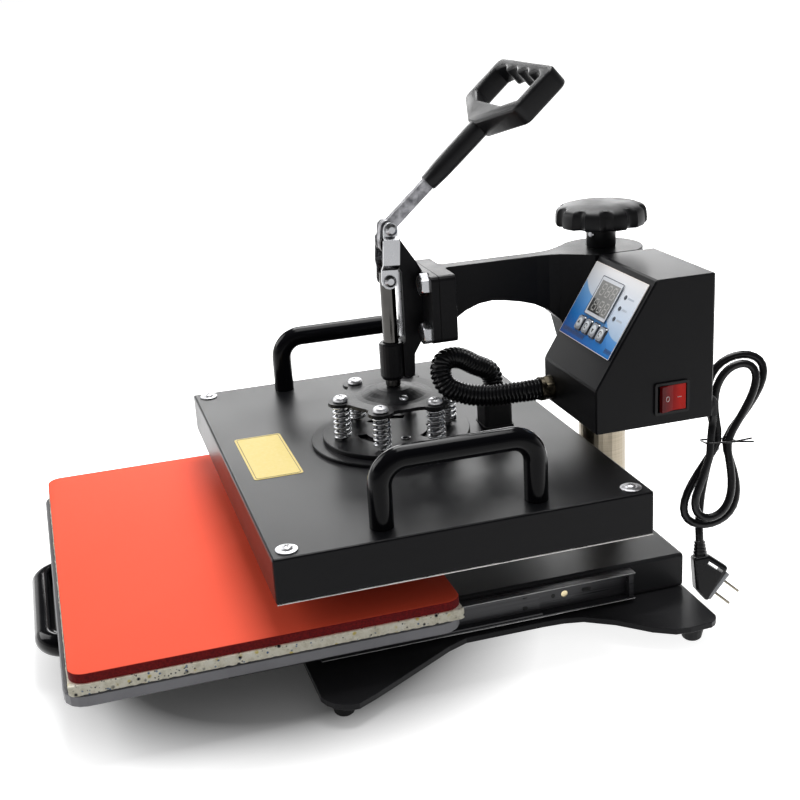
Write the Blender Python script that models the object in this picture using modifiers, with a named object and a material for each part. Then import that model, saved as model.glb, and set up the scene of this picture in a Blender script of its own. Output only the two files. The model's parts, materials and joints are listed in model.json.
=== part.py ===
"""Combo heat press: a swing arm press with a flat heated platen over a pull-out lower platen.

Metres, +Z up. The press stands on the floor, its drawer pulls out towards -Y and the column
stands at the back, so the operator looks along +Y. Right is +X.
The places below are worked out in the machine's own frame, which has the middle of the heated
platen on its Z axis. One root empty then moves the whole machine, so that the origin lies in
the middle of its footprint on the floor.
"""
import math

import bmesh
import bpy
from mathutils import Matrix, Vector

# Clearances and tolerances
SEAT_GAP = 0.0003
SLIDE_GAP = 0.0004
BORE_CLEARANCE = 0.0003
CUT_OVERRUN = 0.002
WELD_DISTANCE = 0.000005

# Base plate and feet
BASE_THICKNESS = 0.005
BASE_REAR_Y = 0.206
BASE_FRONT_Y = -0.121
BASE_TIP_X = 0.2097
BASE_TIP_Y = -0.0960
BASE_FRONT_INNER_X = 0.1495
BASE_REAR_X = 0.203
BASE_WAIST_X = 0.1505
BASE_WAIST_FRONT_Y = 0.008
BASE_WAIST_REAR_Y = 0.075
BASE_REAR_CORNER_Y = 0.178
BASE_TAB_REACH = 0.0253
BASE_EDGE = 0.0006
FOOT_HEIGHT = 0.015
FOOT_TOP_RADIUS = 0.0105
FOOT_BOTTOM_RADIUS = 0.0078
FOOT_ROUNDING = 0.0015
FOOT_X = 0.186
FOOT_FRONT_Y = -0.1025
FOOT_REAR_Y = 0.1880
FRONT_FLANK_SHARES = ((0.0, 1.0), (0.14, 0.87), (0.32, 0.68), (0.58, 0.40), (0.84, 0.12), (1.0, 0.0))
REAR_FLANK_SHARES = ((0.0, 0.0), (0.16, 0.02), (0.31, 0.09), (0.52, 0.37), (0.73, 0.78),
                     (0.88, 0.97), (1.0, 1.0))

# Drawer housing
HOUSING_HALF_WIDTH = 0.1389
HOUSING_HEIGHT = 0.0304
HOUSING_FRONT_Y = -0.112
HOUSING_WALL = 0.002
HOUSING_BEND = 0.0025

# Column
COLUMN_RADIUS = 0.0212
COLUMN_Y = 0.1973
COLUMN_CAP = 0.0245
COLUMN_FLANGE_RADIUS = 0.0290
COLUMN_FLANGE_HEIGHT = 0.006
COLUMN_NOTCH_GAP = 0.001
COLUMN_CHAMFER = 0.001

# Telescopic rails
RAIL_HEIGHT = 0.0235
RAIL_DEPTH = 0.0108
RAIL_SHEET = 0.0014
RAIL_LIFT = 0.0042
RAIL_REAR_Y = 0.156
RAIL_FRONT_Y = -0.110
RAIL_STOP_LENGTH = 0.0055
RAIL_TRAVEL_GAP = 0.0007
MIDDLE_RAIL_LENGTH = 0.256
INNER_RAIL_LENGTH = 0.250
MIDDLE_RAIL_SET_BACK = 0.0008

# Lower platen stack, carried by the drawer
DRAWER_OPEN = 0.1515
PAD_LENGTH = 0.289
PAD_WIDTH = 0.384
PAD_CORNER = 0.012
SILICONE_THICKNESS = 0.0077
SILICONE_ROUNDING = 0.0014
FELT_THICKNESS = 0.0082
FELT_OVERHANG = 0.0012
FELT_CORNER = 0.004
TRAY_HEIGHT = 0.0095
TRAY_SIDE_OVERHANG = 0.0008
TRAY_FRONT_OVERHANG = 0.0050
TRAY_REAR_OVERHANG = 0.0004
TRAY_WALL = 0.0025
TRAY_EDGE = 0.0010
TRAY_CORNER = 0.016
TRAY_HOUSING_GAP = 0.0016
FRAME_SHEET = 0.002
FRAME_SIDE_DROP = 0.0280
FRAME_FRONT_HALF_WIDTH = 0.100
FRAME_FRONT_DROP = 0.031
FRAME_FRONT_INSET = 0.0060
FRAME_REAR_INSET = 0.0050

# Pull handles
HANDLE_TUBE_RADIUS = 0.0092
HANDLE_BEND = 0.0200
DRAWER_HANDLE_HALF_SPAN = 0.069
DRAWER_HANDLE_REACH = 0.0210
DRAWER_HANDLE_DROP = 0.0215
COVER_HANDLE_HALF_SPAN = 0.061
COVER_HANDLE_INSET = 0.023
COVER_HANDLE_HEIGHT = 0.052
HANDLE_BEND_STEPS = 5
HANDLE_RESOLUTION = 3

# Heated head
COVER_LENGTH = 0.394
COVER_WIDTH = 0.2954
COVER_DEPTH = 0.0355
COVER_WALL = 0.002
COVER_BEND = 0.0016
OPEN_GAP = 0.026
PLATEN_PROUD = 0.0005
PLATEN_THICKNESS = 0.016
PLATEN_EDGE_GAP = 0.0045
STANDOFF_INSET = 0.013
STANDOFF_RADIUS = 0.006
LOWER_DISC_RADIUS = 0.0740
LOWER_DISC_THICKNESS = 0.0027
UPPER_DISC_RADIUS = 0.0640
UPPER_DISC_THICKNESS = 0.0040
DISC_SLOT_RADIUS = 0.0310
DISC_SLOT_WIDTH = 0.0080
DISC_SLOT_DEPTH = 0.0025
DISC_SLOT_COUNT = 3
DISC_SLOT_TURN_DEG = 62.0
DISC_SEGMENTS = 44

# Spring bolts and spider
BOLT_COUNT = 6
BOLT_CIRCLE = 0.0475
BOLT_FIRST_DEG = -90.0
BOLT_RADIUS = 0.0032
BOLT_HEAD_RADIUS = 0.0062
BOLT_HEAD_HEIGHT = 0.0034
BOLT_HOLE_GAP = 0.0005
BOLT_SINK = 0.0010
BOLT_CAP_SHARE = 0.55
SPRING_OPEN_LENGTH = 0.0300
FLOAT_TRAVEL = 0.0080
SPRING_RADIUS = 0.0066
SPRING_WIRE_RADIUS = 0.0010
SPRING_CURLS = 6
SPRING_POINTS_PER_CURL = 8
SPRING_FLAT_SHARE = 0.10
SPIDER_THICKNESS = 0.0030
SPIDER_LOBE_RADIUS = 0.0110
SPIDER_WAIST_RADIUS = 0.0445
SPIDER_ARC_STEPS = 5
DOME_RADIUS = 0.0330
DOME_HEIGHT = 0.0070
DOME_CROWN_RADIUS = 0.0100
DOME_SEGMENTS = 30

# Plunger and its guide sleeve
PLUNGER_Y = 0.0023
PLUNGER_RADIUS = 0.0065
PLUNGER_TOP_MARGIN = 0.0067
ROD_CHAMFER = 0.0010
SLEEVE_RADIUS = 0.0105
SLEEVE_LENGTH = 0.0320
SLEEVE_LIFT = 0.0070
SLEEVE_TAPER = 0.0016
SLEEVE_BORE_GAP = 0.0004

# Toggle
CRANK_RADIUS = 0.01285
PIVOT_SETBACK = 0.0027
PIVOT_LIFT = 0.0250
STRAP_LENGTH = 0.0432
STRAP_HALF_WIDTH = 0.0070
STRAP_EYE_HALF_WIDTH = 0.0060
STRAP_SHOULDER = 0.0012
STRAP_THICKNESS = 0.0026
STRAP_BAND_OFFSET = 0.0030
STRAP_LOW_OFFSET = 0.0018
STRAP_HEAD_GAP = 0.0004
STRAP_RAMP = 0.0025
STRAP_BAND_END = 0.0290
STRAP_LOW_RAMP = 0.0050
PIN_RADIUS = 0.0030
PIN_HEAD_RADIUS = 0.0050
PIN_HEAD_HEIGHT = 0.0030
PIVOT_BOLT_RADIUS = 0.0036
PIVOT_HEAD_RADIUS = 0.0042
PIVOT_HEAD_HEIGHT = 0.0016
HEAD_ROUNDING_SHARE = 0.45
LEVER_PLATE_HALF = 0.0040
EAR_THICKNESS = 0.0039
EAR_RADIUS = 0.0090
EAR_NECK_GAP = 0.0007
LEVER_PIVOT_EYE = 0.0085
LEVER_PIN_EYE = 0.0068
SMALL_SEGMENTS = 16

# Lever and grip
LEVER_RISE_DEG = 41.4
LEVER_BAR_HALF_WIDTH = 0.0052
LEVER_BAR_THICKNESS = 0.0062
LEVER_BAR_LENGTH = 0.0720
GRIP_START = 0.0490
GRIP_NECK_END = 0.1130
GRIP_SHOULDER = 0.1330
GRIP_END = 0.1760
GRIP_HALF_WIDTH = 0.0550
GRIP_NECK_START_HALF = 0.0062
GRIP_NECK_END_HALF = 0.0090
GRIP_THICKNESS = 0.0180
GRIP_NECK_THICKNESS = 0.0130
GRIP_OPENING_START = 0.1360
GRIP_OPENING_END = 0.1640
GRIP_OPENING_HALF = 0.0430
GRIP_OPENING_NEAR_HALF = 0.0240
GRIP_GROOVES = 4
GRIP_GROOVE_DEPTH = 0.0050
GRIP_CORNER = 0.0085
GRIP_ROUNDING = 0.0022
GRIP_NECK_ROUNDING = 0.0020

# Toggle bracket
FLANGE_HALF_WIDTH = 0.0360
FLANGE_HEIGHT = 0.0570
FLANGE_LIFT = 0.0350
FLANGE_SETBACK = 0.0337
FLANGE_CORNER = 0.0040
BRACKET_FLANGE = 0.0065
WEB_FRONT_SETBACK = 0.0108
EAR_SLOT_SETBACK = 0.0120
EAR_SLOT_DROP = 0.0215
GUIDE_STRIP_HALF_WIDTH = 0.0034
GUIDE_STRIP_THICKNESS = 0.0020
GUIDE_STRIP_LENGTH = 0.0560
BRACKET_BOLT_X = 0.0242
BRACKET_BOLT_INSET = 0.0078
HEX_HALF_FLATS = 0.0082
HEX_HEIGHT = 0.0066
HEX_SINK = 0.0020
HEX_SIDES = 6
HEX_ROUND_SHARE = 0.4

# Swing arm
ARM_FLANGE = 0.0145
ARM_FLANGE_EDGE = 0.0020
ARM_NECK_HALF = 0.0072
ARM_NECK_FILLET = 0.0050
ARM_BOSS_RADIUS = 0.0360
ARM_BOSS_HEIGHT = 0.0965
ARM_ARCH_DEPTH = 0.0340
ARM_EDGE = 0.0014
ARM_PAD_X = 0.0300
ARM_BORE_GAP = 0.0004
ARM_ROOF_GAP = 0.0010
ARCH_SHARES = ((0.02, 0.26), (0.06, 0.20), (0.16, 0.09), (0.27, 0.02), (0.38, 0.0), (0.50, 0.03),
               (0.62, 0.075), (0.73, 0.135), (0.84, 0.24), (0.93, 0.39))
FLARE_SHARES = ((0.70, 0.0), (0.79, 0.03), (0.86, 0.10), (0.93, 0.24), (1.0, 0.40))
BOSS_JOIN_DEG = -50.0
BUSH_HEIGHT = 0.006
BUSH_WALL = 0.0040

# Pressure knob
KNOB_RADIUS = 0.0395
KNOB_LOBES = 10
KNOB_LOBE_DEPTH = 0.0030
KNOB_RIM_HEIGHT = 0.0175
KNOB_CROWN = 0.0110
KNOB_HUB_RADIUS = 0.0125
KNOB_HUB_HEIGHT = 0.0125
KNOB_SEGMENTS = 60
KNOB_SOCKET_DEPTH = 0.0100
SCREW_RADIUS = 0.0070
SCREW_REACH = 0.0500
SCREW_THREAD_PITCH = 0.002

# Control box
CASE_FORWARD = 0.0680
CASE_DEPTH = 0.1037
CASE_SLANT_DEPTH = 0.0524
CASE_SLANT_HEIGHT = 0.0830
CASE_HEIGHT = 0.1200
CASE_WIDTH = 0.1033
CASE_EDGE = 0.0012
CASE_WALL = 0.0020
CASE_WIRE_HOLE_RADIUS = 0.0090
CASE_WIRE_HOLE_DROP = 0.0450
PANEL_MARGIN_LEFT = 0.0037
PANEL_MARGIN_RIGHT = 0.0052
PANEL_LOW = 0.0260
PANEL_HIGH = 0.0922
PANEL_THICKNESS = 0.0010
PANEL_CORNER = 0.0010
DISPLAY_LEFT = 0.0294
DISPLAY_WIDTH = 0.0376
DISPLAY_LOW = 0.0497
DISPLAY_HEIGHT = 0.0343
DISPLAY_RISE = 0.0012
DISPLAY_FRAME = 0.0026
DISPLAY_DEPTH = 0.0006
BUTTON_FIRST = 0.0310
BUTTON_PITCH = 0.0134
BUTTON_SLANT = 0.0407
BUTTON_HALF_WIDTH = 0.0052
BUTTON_HALF_HEIGHT = 0.0062
BUTTON_RISE = 0.0016
BUTTON_DEPTH = 0.0030
BUTTON_COUNT = 4
BUTTON_TRAVEL = 0.0006
BUTTON_GAP = 0.0004
BUTTON_ROUNDING = 0.0010

# Rocker switch
SWITCH_BACK = 0.0658
SWITCH_RISE = 0.0224
BEZEL_HALF_Y = 0.0152
BEZEL_HALF_Z = 0.0133
BEZEL_THICKNESS = 0.0018
BEZEL_FRAME_Y = 0.0023
BEZEL_FRAME_Z = 0.0022
SWITCH_POCKET_DEPTH = 0.0110
ROCKER_TILT_DEG = 9.0
ROCKER_HALF_Y = 0.0114
ROCKER_BACK_HALF_Y = 0.0085
ROCKER_DEPTH = 0.0050
ROCKER_AXIS_DEPTH = 0.0025
ROCKER_RISE = 0.0034
ROCKER_VALLEY = 0.0018

# Wiring hose
HOSE_RADIUS = 0.0093
HOSE_ROOT_RADIUS = 0.0078
HOSE_BORE_RADIUS = 0.0056
HOSE_RIB_PITCH = 0.0042
HOSE_FIT_GAP = 0.0004
HOSE_SINK = 0.0080
HOSE_RESOLUTION = 2
HOSE_SIZE = 0.1000
HOSE_ROUTE_SHARES = (
    (-0.06, -0.53, -0.010), (-0.10, -0.72, 0.022), (-0.155, -0.865, 0.100), (-0.215, -0.895, 0.220),
    (-0.27, -0.835, 0.288), (-0.31, -0.700, 0.288), (-0.345, -0.550, 0.210))
HOSE_LEAD_SHARES = ((0.0, -0.186, 0.0), (-0.003, -0.250, 0.0))
HOSE_DROP_SHARES = ((-0.010, -0.005, 0.36), (0.000, 0.000, 0.20))
GLAND_RADIUS = 0.0115
GLAND_LENGTH = 0.0110
GLAND_COLLAR_RADIUS = 0.0130
GLAND_COLLAR_LENGTH = 0.0035
GLAND_FLOOR = 0.0010
GLAND_RIGHT = 0.0135
GLAND_RISE = 0.0135
TOWER_X = 0.0080
TOWER_SETBACK = 0.0880
TOWER_HALF = 0.0125
TOWER_HEIGHT = 0.0240
TOWER_FOOT_HALF = 0.0136
TOWER_FOOT_HEIGHT = 0.0025
TOWER_FLOOR = 0.0020
TOWER_CORNER = 0.0030

# Power cord: the hank hangs in a leaning plane behind the control box
CORD_RADIUS = 0.0031
CORD_RESOLUTION = 1
HANK_TURN_DEG = 74.4
HANK_LEAN_DEG = 14.0
HANK_RIGHT = 0.0943
HANK_BACK = 0.0145
HANK_DROP = 0.0266
HANK_WIDTH = 0.0435
HANK_INNER_WIDTH_SHARE = 0.66
HANK_HEIGHT = 0.0700
HANK_INNER_HEIGHT_SHARE = 0.90
HANK_WAIST = 0.0040
HANK_UPPER_LEAN_SHARE = 0.30
HANK_LOWER_LEAN_SHARE = 0.24
HANK_TURNS = 2
HANK_POINTS_PER_TURN = 24
HANK_PITCH = 0.0078
LEAD_SIZE = 0.1000
LEAD_ROUTE_SHARES = ((-0.104, -0.077, 0.080), (-0.117, -0.080, -0.020), (-0.130, -0.080, -0.120))
LEAD_JOIN_STEP = 3
TAIL_SIZE = 0.1000
TAIL_SET_BACK = 0.0016
TAIL_ROUTE_SHARES = ((-0.078, -0.120), (-0.130, -0.290), (-0.175, -0.490), (-0.197, -0.690))
TIE_WIRE_RADIUS = 0.0007
TIE_GAP = 0.0006
TIE_STUB = 0.0140
TIE_RESOLUTION = 1
BOOT_BACK = 0.0053
BOOT_RIGHT = 0.0942
BOOT_RISE = 0.0085
BOOT_DROP = 0.0110
BOOT_RADIUS = 0.0050
BOOT_END_RADIUS = 0.0040
BOOT_FLANGE_RADIUS = 0.0080
BOOT_FLANGE_THICKNESS = 0.0020
BOOT_STEPS = 6

# Plug on the cord's end
PLUG_RIGHT = -0.0080
PLUG_DROP = 0.1225
PLUG_TILT_DEG = 40.0
PLUG_SIZE = 0.0330
PLUG_THICKNESS = 0.0160
PLUG_ROUNDING = 0.0022
PLUG_OUTLINE_SHARES = ((-0.19, 0.76), (0.28, 0.41), (-0.28, -0.41), (-0.58, -0.06), (-0.59, 0.73))
PLUG_SLOT_SHARES = ((-0.15, 0.61), (0.13, 0.40), (0.085, 0.34), (-0.195, 0.55))
PLUG_BOOT_LENGTH = 0.0170
PLUG_BOOT_TOP_RADIUS = 0.0046
PLUG_BOOT_LOW_RADIUS = 0.0070
PLUG_BOOT_X_SHARE = -0.37
PLUG_BOOT_Z_SHARE = 0.62
BLADE_LENGTH = 0.0170
BLADE_WIDTH = 0.0064
BLADE_THICKNESS = 0.0015
BLADE_SPACING = 0.0127

TURN_SEGMENTS = 32
BORE_SEGMENTS = 22
FULL_TURN = 2.0 * math.pi
SHARP_ANGLE_DEG = 32.0

# Heights from the floor up, each from the piece that carries it
BASE_TOP = FOOT_HEIGHT + BASE_THICKNESS
HOUSING_TOP = BASE_TOP + HOUSING_HEIGHT
TRAY_BOTTOM = HOUSING_TOP + TRAY_HOUSING_GAP
TRAY_TOP = TRAY_BOTTOM + TRAY_HEIGHT
FRAME_TOP = TRAY_TOP - TRAY_WALL - SEAT_GAP
FELT_TOP = TRAY_TOP + SEAT_GAP + FELT_THICKNESS
PAD_TOP = FELT_TOP + SEAT_GAP + SILICONE_THICKNESS
PLATEN_BOTTOM = PAD_TOP + OPEN_GAP
COVER_BOTTOM = PLATEN_BOTTOM + PLATEN_PROUD
COVER_TOP = COVER_BOTTOM + COVER_DEPTH
DISC_TOP = COVER_TOP + SEAT_GAP + LOWER_DISC_THICKNESS + UPPER_DISC_THICKNESS
SPIDER_BOTTOM = DISC_TOP + SPRING_OPEN_LENGTH
SPIDER_TOP = SPIDER_BOTTOM + SPIDER_THICKNESS
DOME_TOP = SPIDER_TOP + DOME_HEIGHT
SLEEVE_BOTTOM = DOME_TOP + SLEEVE_LIFT
SLEEVE_TOP = SLEEVE_BOTTOM + SLEEVE_LENGTH
FLANGE_BOTTOM = SLEEVE_BOTTOM + FLANGE_LIFT
FLANGE_TOP = FLANGE_BOTTOM + FLANGE_HEIGHT
PIVOT_Z = FLANGE_TOP + PIVOT_LIFT
TOP_PIN_Z = PIVOT_Z + CRANK_RADIUS
STRAP_LEAN = math.asin(PIVOT_SETBACK / STRAP_LENGTH)
LOW_PIN_Z = TOP_PIN_Z - STRAP_LENGTH * math.cos(STRAP_LEAN)
ROD_TOP = LOW_PIN_Z + PLUNGER_TOP_MARGIN
ARM_TOP = FLANGE_TOP
ARM_BOSS_BOTTOM = ARM_TOP - ARM_BOSS_HEIGHT
COLUMN_TOP = ARM_TOP - COLUMN_CAP
KNOB_BOTTOM = ARM_TOP + SEAT_GAP
CASE_TOP = ARM_TOP
CASE_BOTTOM = CASE_TOP - CASE_HEIGHT
CASE_BREAK_Z = CASE_TOP - CASE_SLANT_HEIGHT

# Places along Y and X
PIVOT_Y = PLUNGER_Y + PIVOT_SETBACK
FLANGE_FACE_Y = PLUNGER_Y + FLANGE_SETBACK
ARM_FACE_Y = FLANGE_FACE_Y + SEAT_GAP
WEB_FRONT_Y = PLUNGER_Y + WEB_FRONT_SETBACK
EAR_OUTER = LEVER_PLATE_HALF + SLIDE_GAP + EAR_THICKNESS
CASE_LEFT_X = ARM_PAD_X + SEAT_GAP
CASE_RIGHT_X = CASE_LEFT_X + CASE_WIDTH
CASE_FRONT_Y = COLUMN_Y - CASE_FORWARD
CASE_REAR_Y = CASE_FRONT_Y + CASE_DEPTH
DRAWER_Y = -DRAWER_OPEN
FRAME_FRONT_Y = DRAWER_Y - PAD_LENGTH / 2.0 + FRAME_FRONT_INSET
FRAME_REAR_Y = DRAWER_Y + PAD_LENGTH / 2.0 - FRAME_REAR_INSET
DRAWER_HANDLE_Y = FRAME_FRONT_Y - DRAWER_HANDLE_REACH
RAIL_WEB_X = HOUSING_HALF_WIDTH + SEAT_GAP
RAIL_LIP_X = RAIL_WEB_X + RAIL_DEPTH
RAIL_LOW = BASE_TOP + RAIL_LIFT
RAIL_HIGH = RAIL_LOW + RAIL_HEIGHT
FRAME_WALL_X = RAIL_LIP_X + SLIDE_GAP
FRONT_END_Y = DRAWER_HANDLE_Y - HANDLE_TUBE_RADIUS
REAR_END_Y = COLUMN_Y + KNOB_RADIUS
ORIGIN_Y = (FRONT_END_Y + REAR_END_Y) / 2.0
BOLT_ANGLES = [math.radians(BOLT_FIRST_DEG) + FULL_TURN * step / BOLT_COUNT for step in range(BOLT_COUNT)]


def start():
    """Empties the scene and makes the two collections."""
    for item in list(bpy.data.objects):
        bpy.data.objects.remove(item)
    for name in ("heat_press", "heat_press_cutters"):
        folder = bpy.data.collections.new(name)
        bpy.context.scene.collection.children.link(folder)


def material(name, colour, roughness, metallic=0.0):
    finish = bpy.data.materials.new(name)
    finish.use_nodes = True
    shader = finish.node_tree.nodes["Principled BSDF"]
    shader.inputs["Base Color"].default_value = (*colour, 1.0)
    shader.inputs["Roughness"].default_value = roughness
    shader.inputs["Metallic"].default_value = metallic


def make_materials():
    material("powder_coat_black", (0.020, 0.020, 0.022), 0.55)
    material("cast_black", (0.018, 0.018, 0.020), 0.50)
    material("rail_black", (0.030, 0.030, 0.032), 0.35, 0.4)
    material("rubber_black", (0.015, 0.015, 0.016), 0.80)
    material("grip_black", (0.012, 0.012, 0.013), 0.28)
    material("gloss_black", (0.008, 0.008, 0.009), 0.12)
    material("silicone_red", (0.82, 0.14, 0.06), 0.60)
    material("felt_cream", (0.62, 0.58, 0.45), 0.95)
    material("tray_grey", (0.20, 0.20, 0.21), 0.40, 0.6)
    material("aluminium_plate", (0.75, 0.75, 0.74), 0.30, 1.0)
    material("zinc", (0.78, 0.79, 0.80), 0.22, 1.0)
    material("lever_steel", (0.22, 0.22, 0.23), 0.45, 0.8)
    material("brushed_steel", (0.55, 0.52, 0.47), 0.34, 1.0)
    material("panel_blue", (0.10, 0.32, 0.70), 0.25)
    material("button_silver", (0.60, 0.61, 0.62), 0.30, 0.6)
    material("rocker_red", (0.75, 0.02, 0.02), 0.15)
    material("gland_metal", (0.50, 0.46, 0.38), 0.30, 1.0)
    material("bronze", (0.45, 0.33, 0.18), 0.35, 1.0)


def joint_frame(name, place, parent=None):
    """An empty on a joint's axis, at a place in the machine's frame."""
    frame = bpy.data.objects.new(name, None)
    bpy.data.collections["heat_press"].objects.link(frame)
    frame["machine_place"] = tuple(place)
    if parent is not None:
        frame.parent = parent
        frame.location = Vector(place) - Vector(parent["machine_place"])
    return frame


def new_object(name, mesh, folder="heat_press"):
    item = bpy.data.objects.new(name, mesh)
    bpy.data.collections[folder].objects.link(item)
    return item


def bake(item):
    """Applies the modifiers and the place, so the mesh stands in the machine's frame."""
    bpy.context.view_layer.update()
    evaluated = item.evaluated_get(bpy.context.evaluated_depsgraph_get())
    mesh = bpy.data.meshes.new_from_object(evaluated)
    mesh.transform(item.matrix_world)
    mesh.name = item.name
    item.modifiers.clear()
    item.data = mesh
    item.matrix_world = Matrix.Identity(4)
    return item


def finish_part(item, parent, finish, origin=(0.0, 0.0, 0.0)):
    """Gives the piece its material and shading and hangs it on its body's empty.

    The mesh comes in the machine's frame and leaves with its own origin at the place given."""
    item.data.transform(Matrix.Translation(-Vector(origin)))
    item.data.materials.clear()
    item.data.materials.append(bpy.data.materials[finish])
    item.data.shade_smooth()
    item.data.set_sharp_from_angle(angle=math.radians(SHARP_ANGLE_DEG))
    item.parent = parent
    item.location = Vector(origin) - Vector(parent["machine_place"])
    return item


def box(name, low, high):
    """A box between two corners."""
    size = [b - a for a, b in zip(low, high)]
    centre = [(a + b) / 2.0 for a, b in zip(low, high)]
    mesh = bpy.data.meshes.new(name)
    shape = bmesh.new()
    bmesh.ops.create_cube(shape, size=1.0)
    bmesh.ops.scale(shape, vec=size, verts=shape.verts)
    bmesh.ops.translate(shape, vec=centre, verts=shape.verts)
    shape.to_mesh(mesh)
    shape.free()
    return new_object(name, mesh)


def cylinder(name, radius, start_point, end_point, segments=TURN_SEGMENTS, end_radius=None, turn=0.0):
    """A closed cylinder or cone from one point to another."""
    start_point = Vector(start_point)
    end_point = Vector(end_point)
    axis = end_point - start_point
    mesh = bpy.data.meshes.new(name)
    shape = bmesh.new()
    bmesh.ops.create_cone(
        shape, cap_ends=True, cap_tris=False, segments=segments, radius1=radius,
        radius2=radius if end_radius is None else end_radius, depth=axis.length)
    aim = Vector((0.0, 0.0, 1.0)).rotation_difference(axis).to_matrix().to_4x4()
    place = Matrix.Translation((start_point + end_point) / 2.0)
    bmesh.ops.transform(shape, matrix=place @ aim @ Matrix.Rotation(turn, 4, "Z"), verts=shape.verts)
    shape.to_mesh(mesh)
    shape.free()
    return new_object(name, mesh)


def turned(name, profile, place=(0.0, 0.0, 0.0), segments=TURN_SEGMENTS, closed=False, aim=None):
    """A turned solid: (radius, height) pairs down the outer side, as a mesh at its place."""
    mesh = bpy.data.meshes.new(name)
    shape = bmesh.new()
    points = [shape.verts.new((radius, 0.0, height)) for radius, height in profile]
    pairs = list(zip(points, points[1:]))
    if closed:
        pairs.append((points[-1], points[0]))
    for first, second in pairs:
        shape.edges.new((first, second))
    shape.to_mesh(mesh)
    shape.free()
    item = new_object(name, mesh)
    screw = item.modifiers.new("turn", "SCREW")
    screw.axis = "Z"
    screw.angle = FULL_TURN
    screw.steps = segments
    screw.render_steps = segments
    screw.use_merge_vertices = True
    screw.merge_threshold = WELD_DISTANCE
    turn = Matrix.Identity(4) if aim is None else Vector((0.0, 0.0, 1.0)).rotation_difference(
        Vector(aim)).to_matrix().to_4x4()
    item.matrix_world = Matrix.Translation(place) @ turn
    return bake(item)


def curve_to_mesh(item):
    """Replaces a curve by its mesh, with the caps welded on."""
    bpy.context.view_layer.update()
    evaluated = item.evaluated_get(bpy.context.evaluated_depsgraph_get())
    mesh = bpy.data.meshes.new_from_object(evaluated)
    mesh.transform(item.matrix_world)
    shape = bmesh.new()
    shape.from_mesh(mesh)
    bmesh.ops.remove_doubles(shape, verts=shape.verts, dist=WELD_DISTANCE)
    bmesh.ops.recalc_face_normals(shape, faces=shape.faces)
    shape.to_mesh(mesh)
    shape.free()
    name = item.name
    bpy.data.objects.remove(item)
    mesh.name = name
    return new_object(name, mesh)


def plate(name, outline, thickness, plane="XY", level=0.0, holes=()):
    """A flat outline extruded by its thickness, with the middle of it at the level."""
    curve = bpy.data.curves.new(name, "CURVE")
    curve.dimensions = "2D"
    curve.fill_mode = "BOTH"
    curve.extrude = thickness / 2.0
    for ring in (outline, *holes):
        spline = curve.splines.new("POLY")
        spline.points.add(len(ring) - 1)
        for point, (across, along) in zip(spline.points, ring):
            point.co = (across, along, 0.0, 1.0)
        spline.use_cyclic_u = True
    item = bpy.data.objects.new(name, curve)
    bpy.data.collections["heat_press"].objects.link(item)
    if plane == "YZ":
        item.matrix_world = Matrix(((0, 0, 1, level), (1, 0, 0, 0), (0, 1, 0, 0), (0, 0, 0, 1)))
    elif plane == "XZ":
        item.matrix_world = Matrix(((1, 0, 0, 0), (0, 0, -1, level), (0, 1, 0, 0), (0, 0, 0, 1)))
    else:
        item.location = (0.0, 0.0, level)
    return curve_to_mesh(item)


def tube(name, points, radius, resolution=2, radius_shares=None, closed=False):
    """A round tube along points, as a welded mesh."""
    curve = bpy.data.curves.new(name, "CURVE")
    curve.dimensions = "3D"
    curve.bevel_depth = radius
    curve.bevel_resolution = resolution
    curve.use_fill_caps = not closed
    spline = curve.splines.new("POLY")
    spline.points.add(len(points) - 1)
    for index, place in enumerate(points):
        spline.points[index].co = (*place, 1.0)
        if radius_shares is not None:
            spline.points[index].radius = radius_shares[index]
    spline.use_cyclic_u = closed
    item = bpy.data.objects.new(name, curve)
    bpy.data.collections["heat_press"].objects.link(item)
    return curve_to_mesh(item)


def combine(target, other, operation):
    """Applies one exact Boolean to the target and keeps the other as a cutter."""
    other.hide_render = True
    other.display_type = "WIRE"
    bpy.data.collections["heat_press"].objects.unlink(other)
    bpy.data.collections["heat_press_cutters"].objects.link(other)
    modifier = target.modifiers.new(operation.lower(), "BOOLEAN")
    modifier.operation = operation
    modifier.object = other
    modifier.solver = "EXACT"
    return bake(target)


def cut(target, other):
    return combine(target, other, "DIFFERENCE")


def join(target, other):
    return combine(target, other, "UNION")


def rounded(item, width, segments=2, angle_deg=35.0):
    """Rounds the edges that are sharper than the angle."""
    bevel = item.modifiers.new("rounding", "BEVEL")
    bevel.width = width
    bevel.segments = segments
    bevel.limit_method = "ANGLE"
    bevel.angle_limit = math.radians(angle_deg)
    bevel.use_clamp_overlap = True
    return item


def arc(centre, radius, first_deg, last_deg, steps):
    points = []
    for step in range(steps + 1):
        angle = math.radians(first_deg + (last_deg - first_deg) * step / steps)
        points.append((centre[0] + radius * math.cos(angle), centre[1] + radius * math.sin(angle)))
    return points


def rounded_rectangle(low, high, radius, steps=4):
    points = arc((high[0] - radius, high[1] - radius), radius, 0.0, 90.0, steps)
    points += arc((low[0] + radius, high[1] - radius), radius, 90.0, 180.0, steps)
    points += arc((low[0] + radius, low[1] + radius), radius, 180.0, 270.0, steps)
    points += arc((high[0] - radius, low[1] + radius), radius, 270.0, 360.0, steps)
    return points


def inset(outline, distance):
    """A convex outline moved inwards by the distance on every side."""
    points = []
    middle = sum((Vector(point) for point in outline), Vector((0.0, 0.0))) / len(outline)
    for index, point in enumerate(outline):
        corner = Vector(point)
        before = (Vector(outline[index - 1]) - corner).normalized()
        after = (Vector(outline[(index + 1) % len(outline)]) - corner).normalized()
        bisector = (before + after).normalized()
        if bisector.dot(middle - corner) < 0.0:
            bisector.negate()
        points.append(tuple(corner + bisector * (distance / math.sin(before.angle(after) / 2.0))))
    return points


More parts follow.
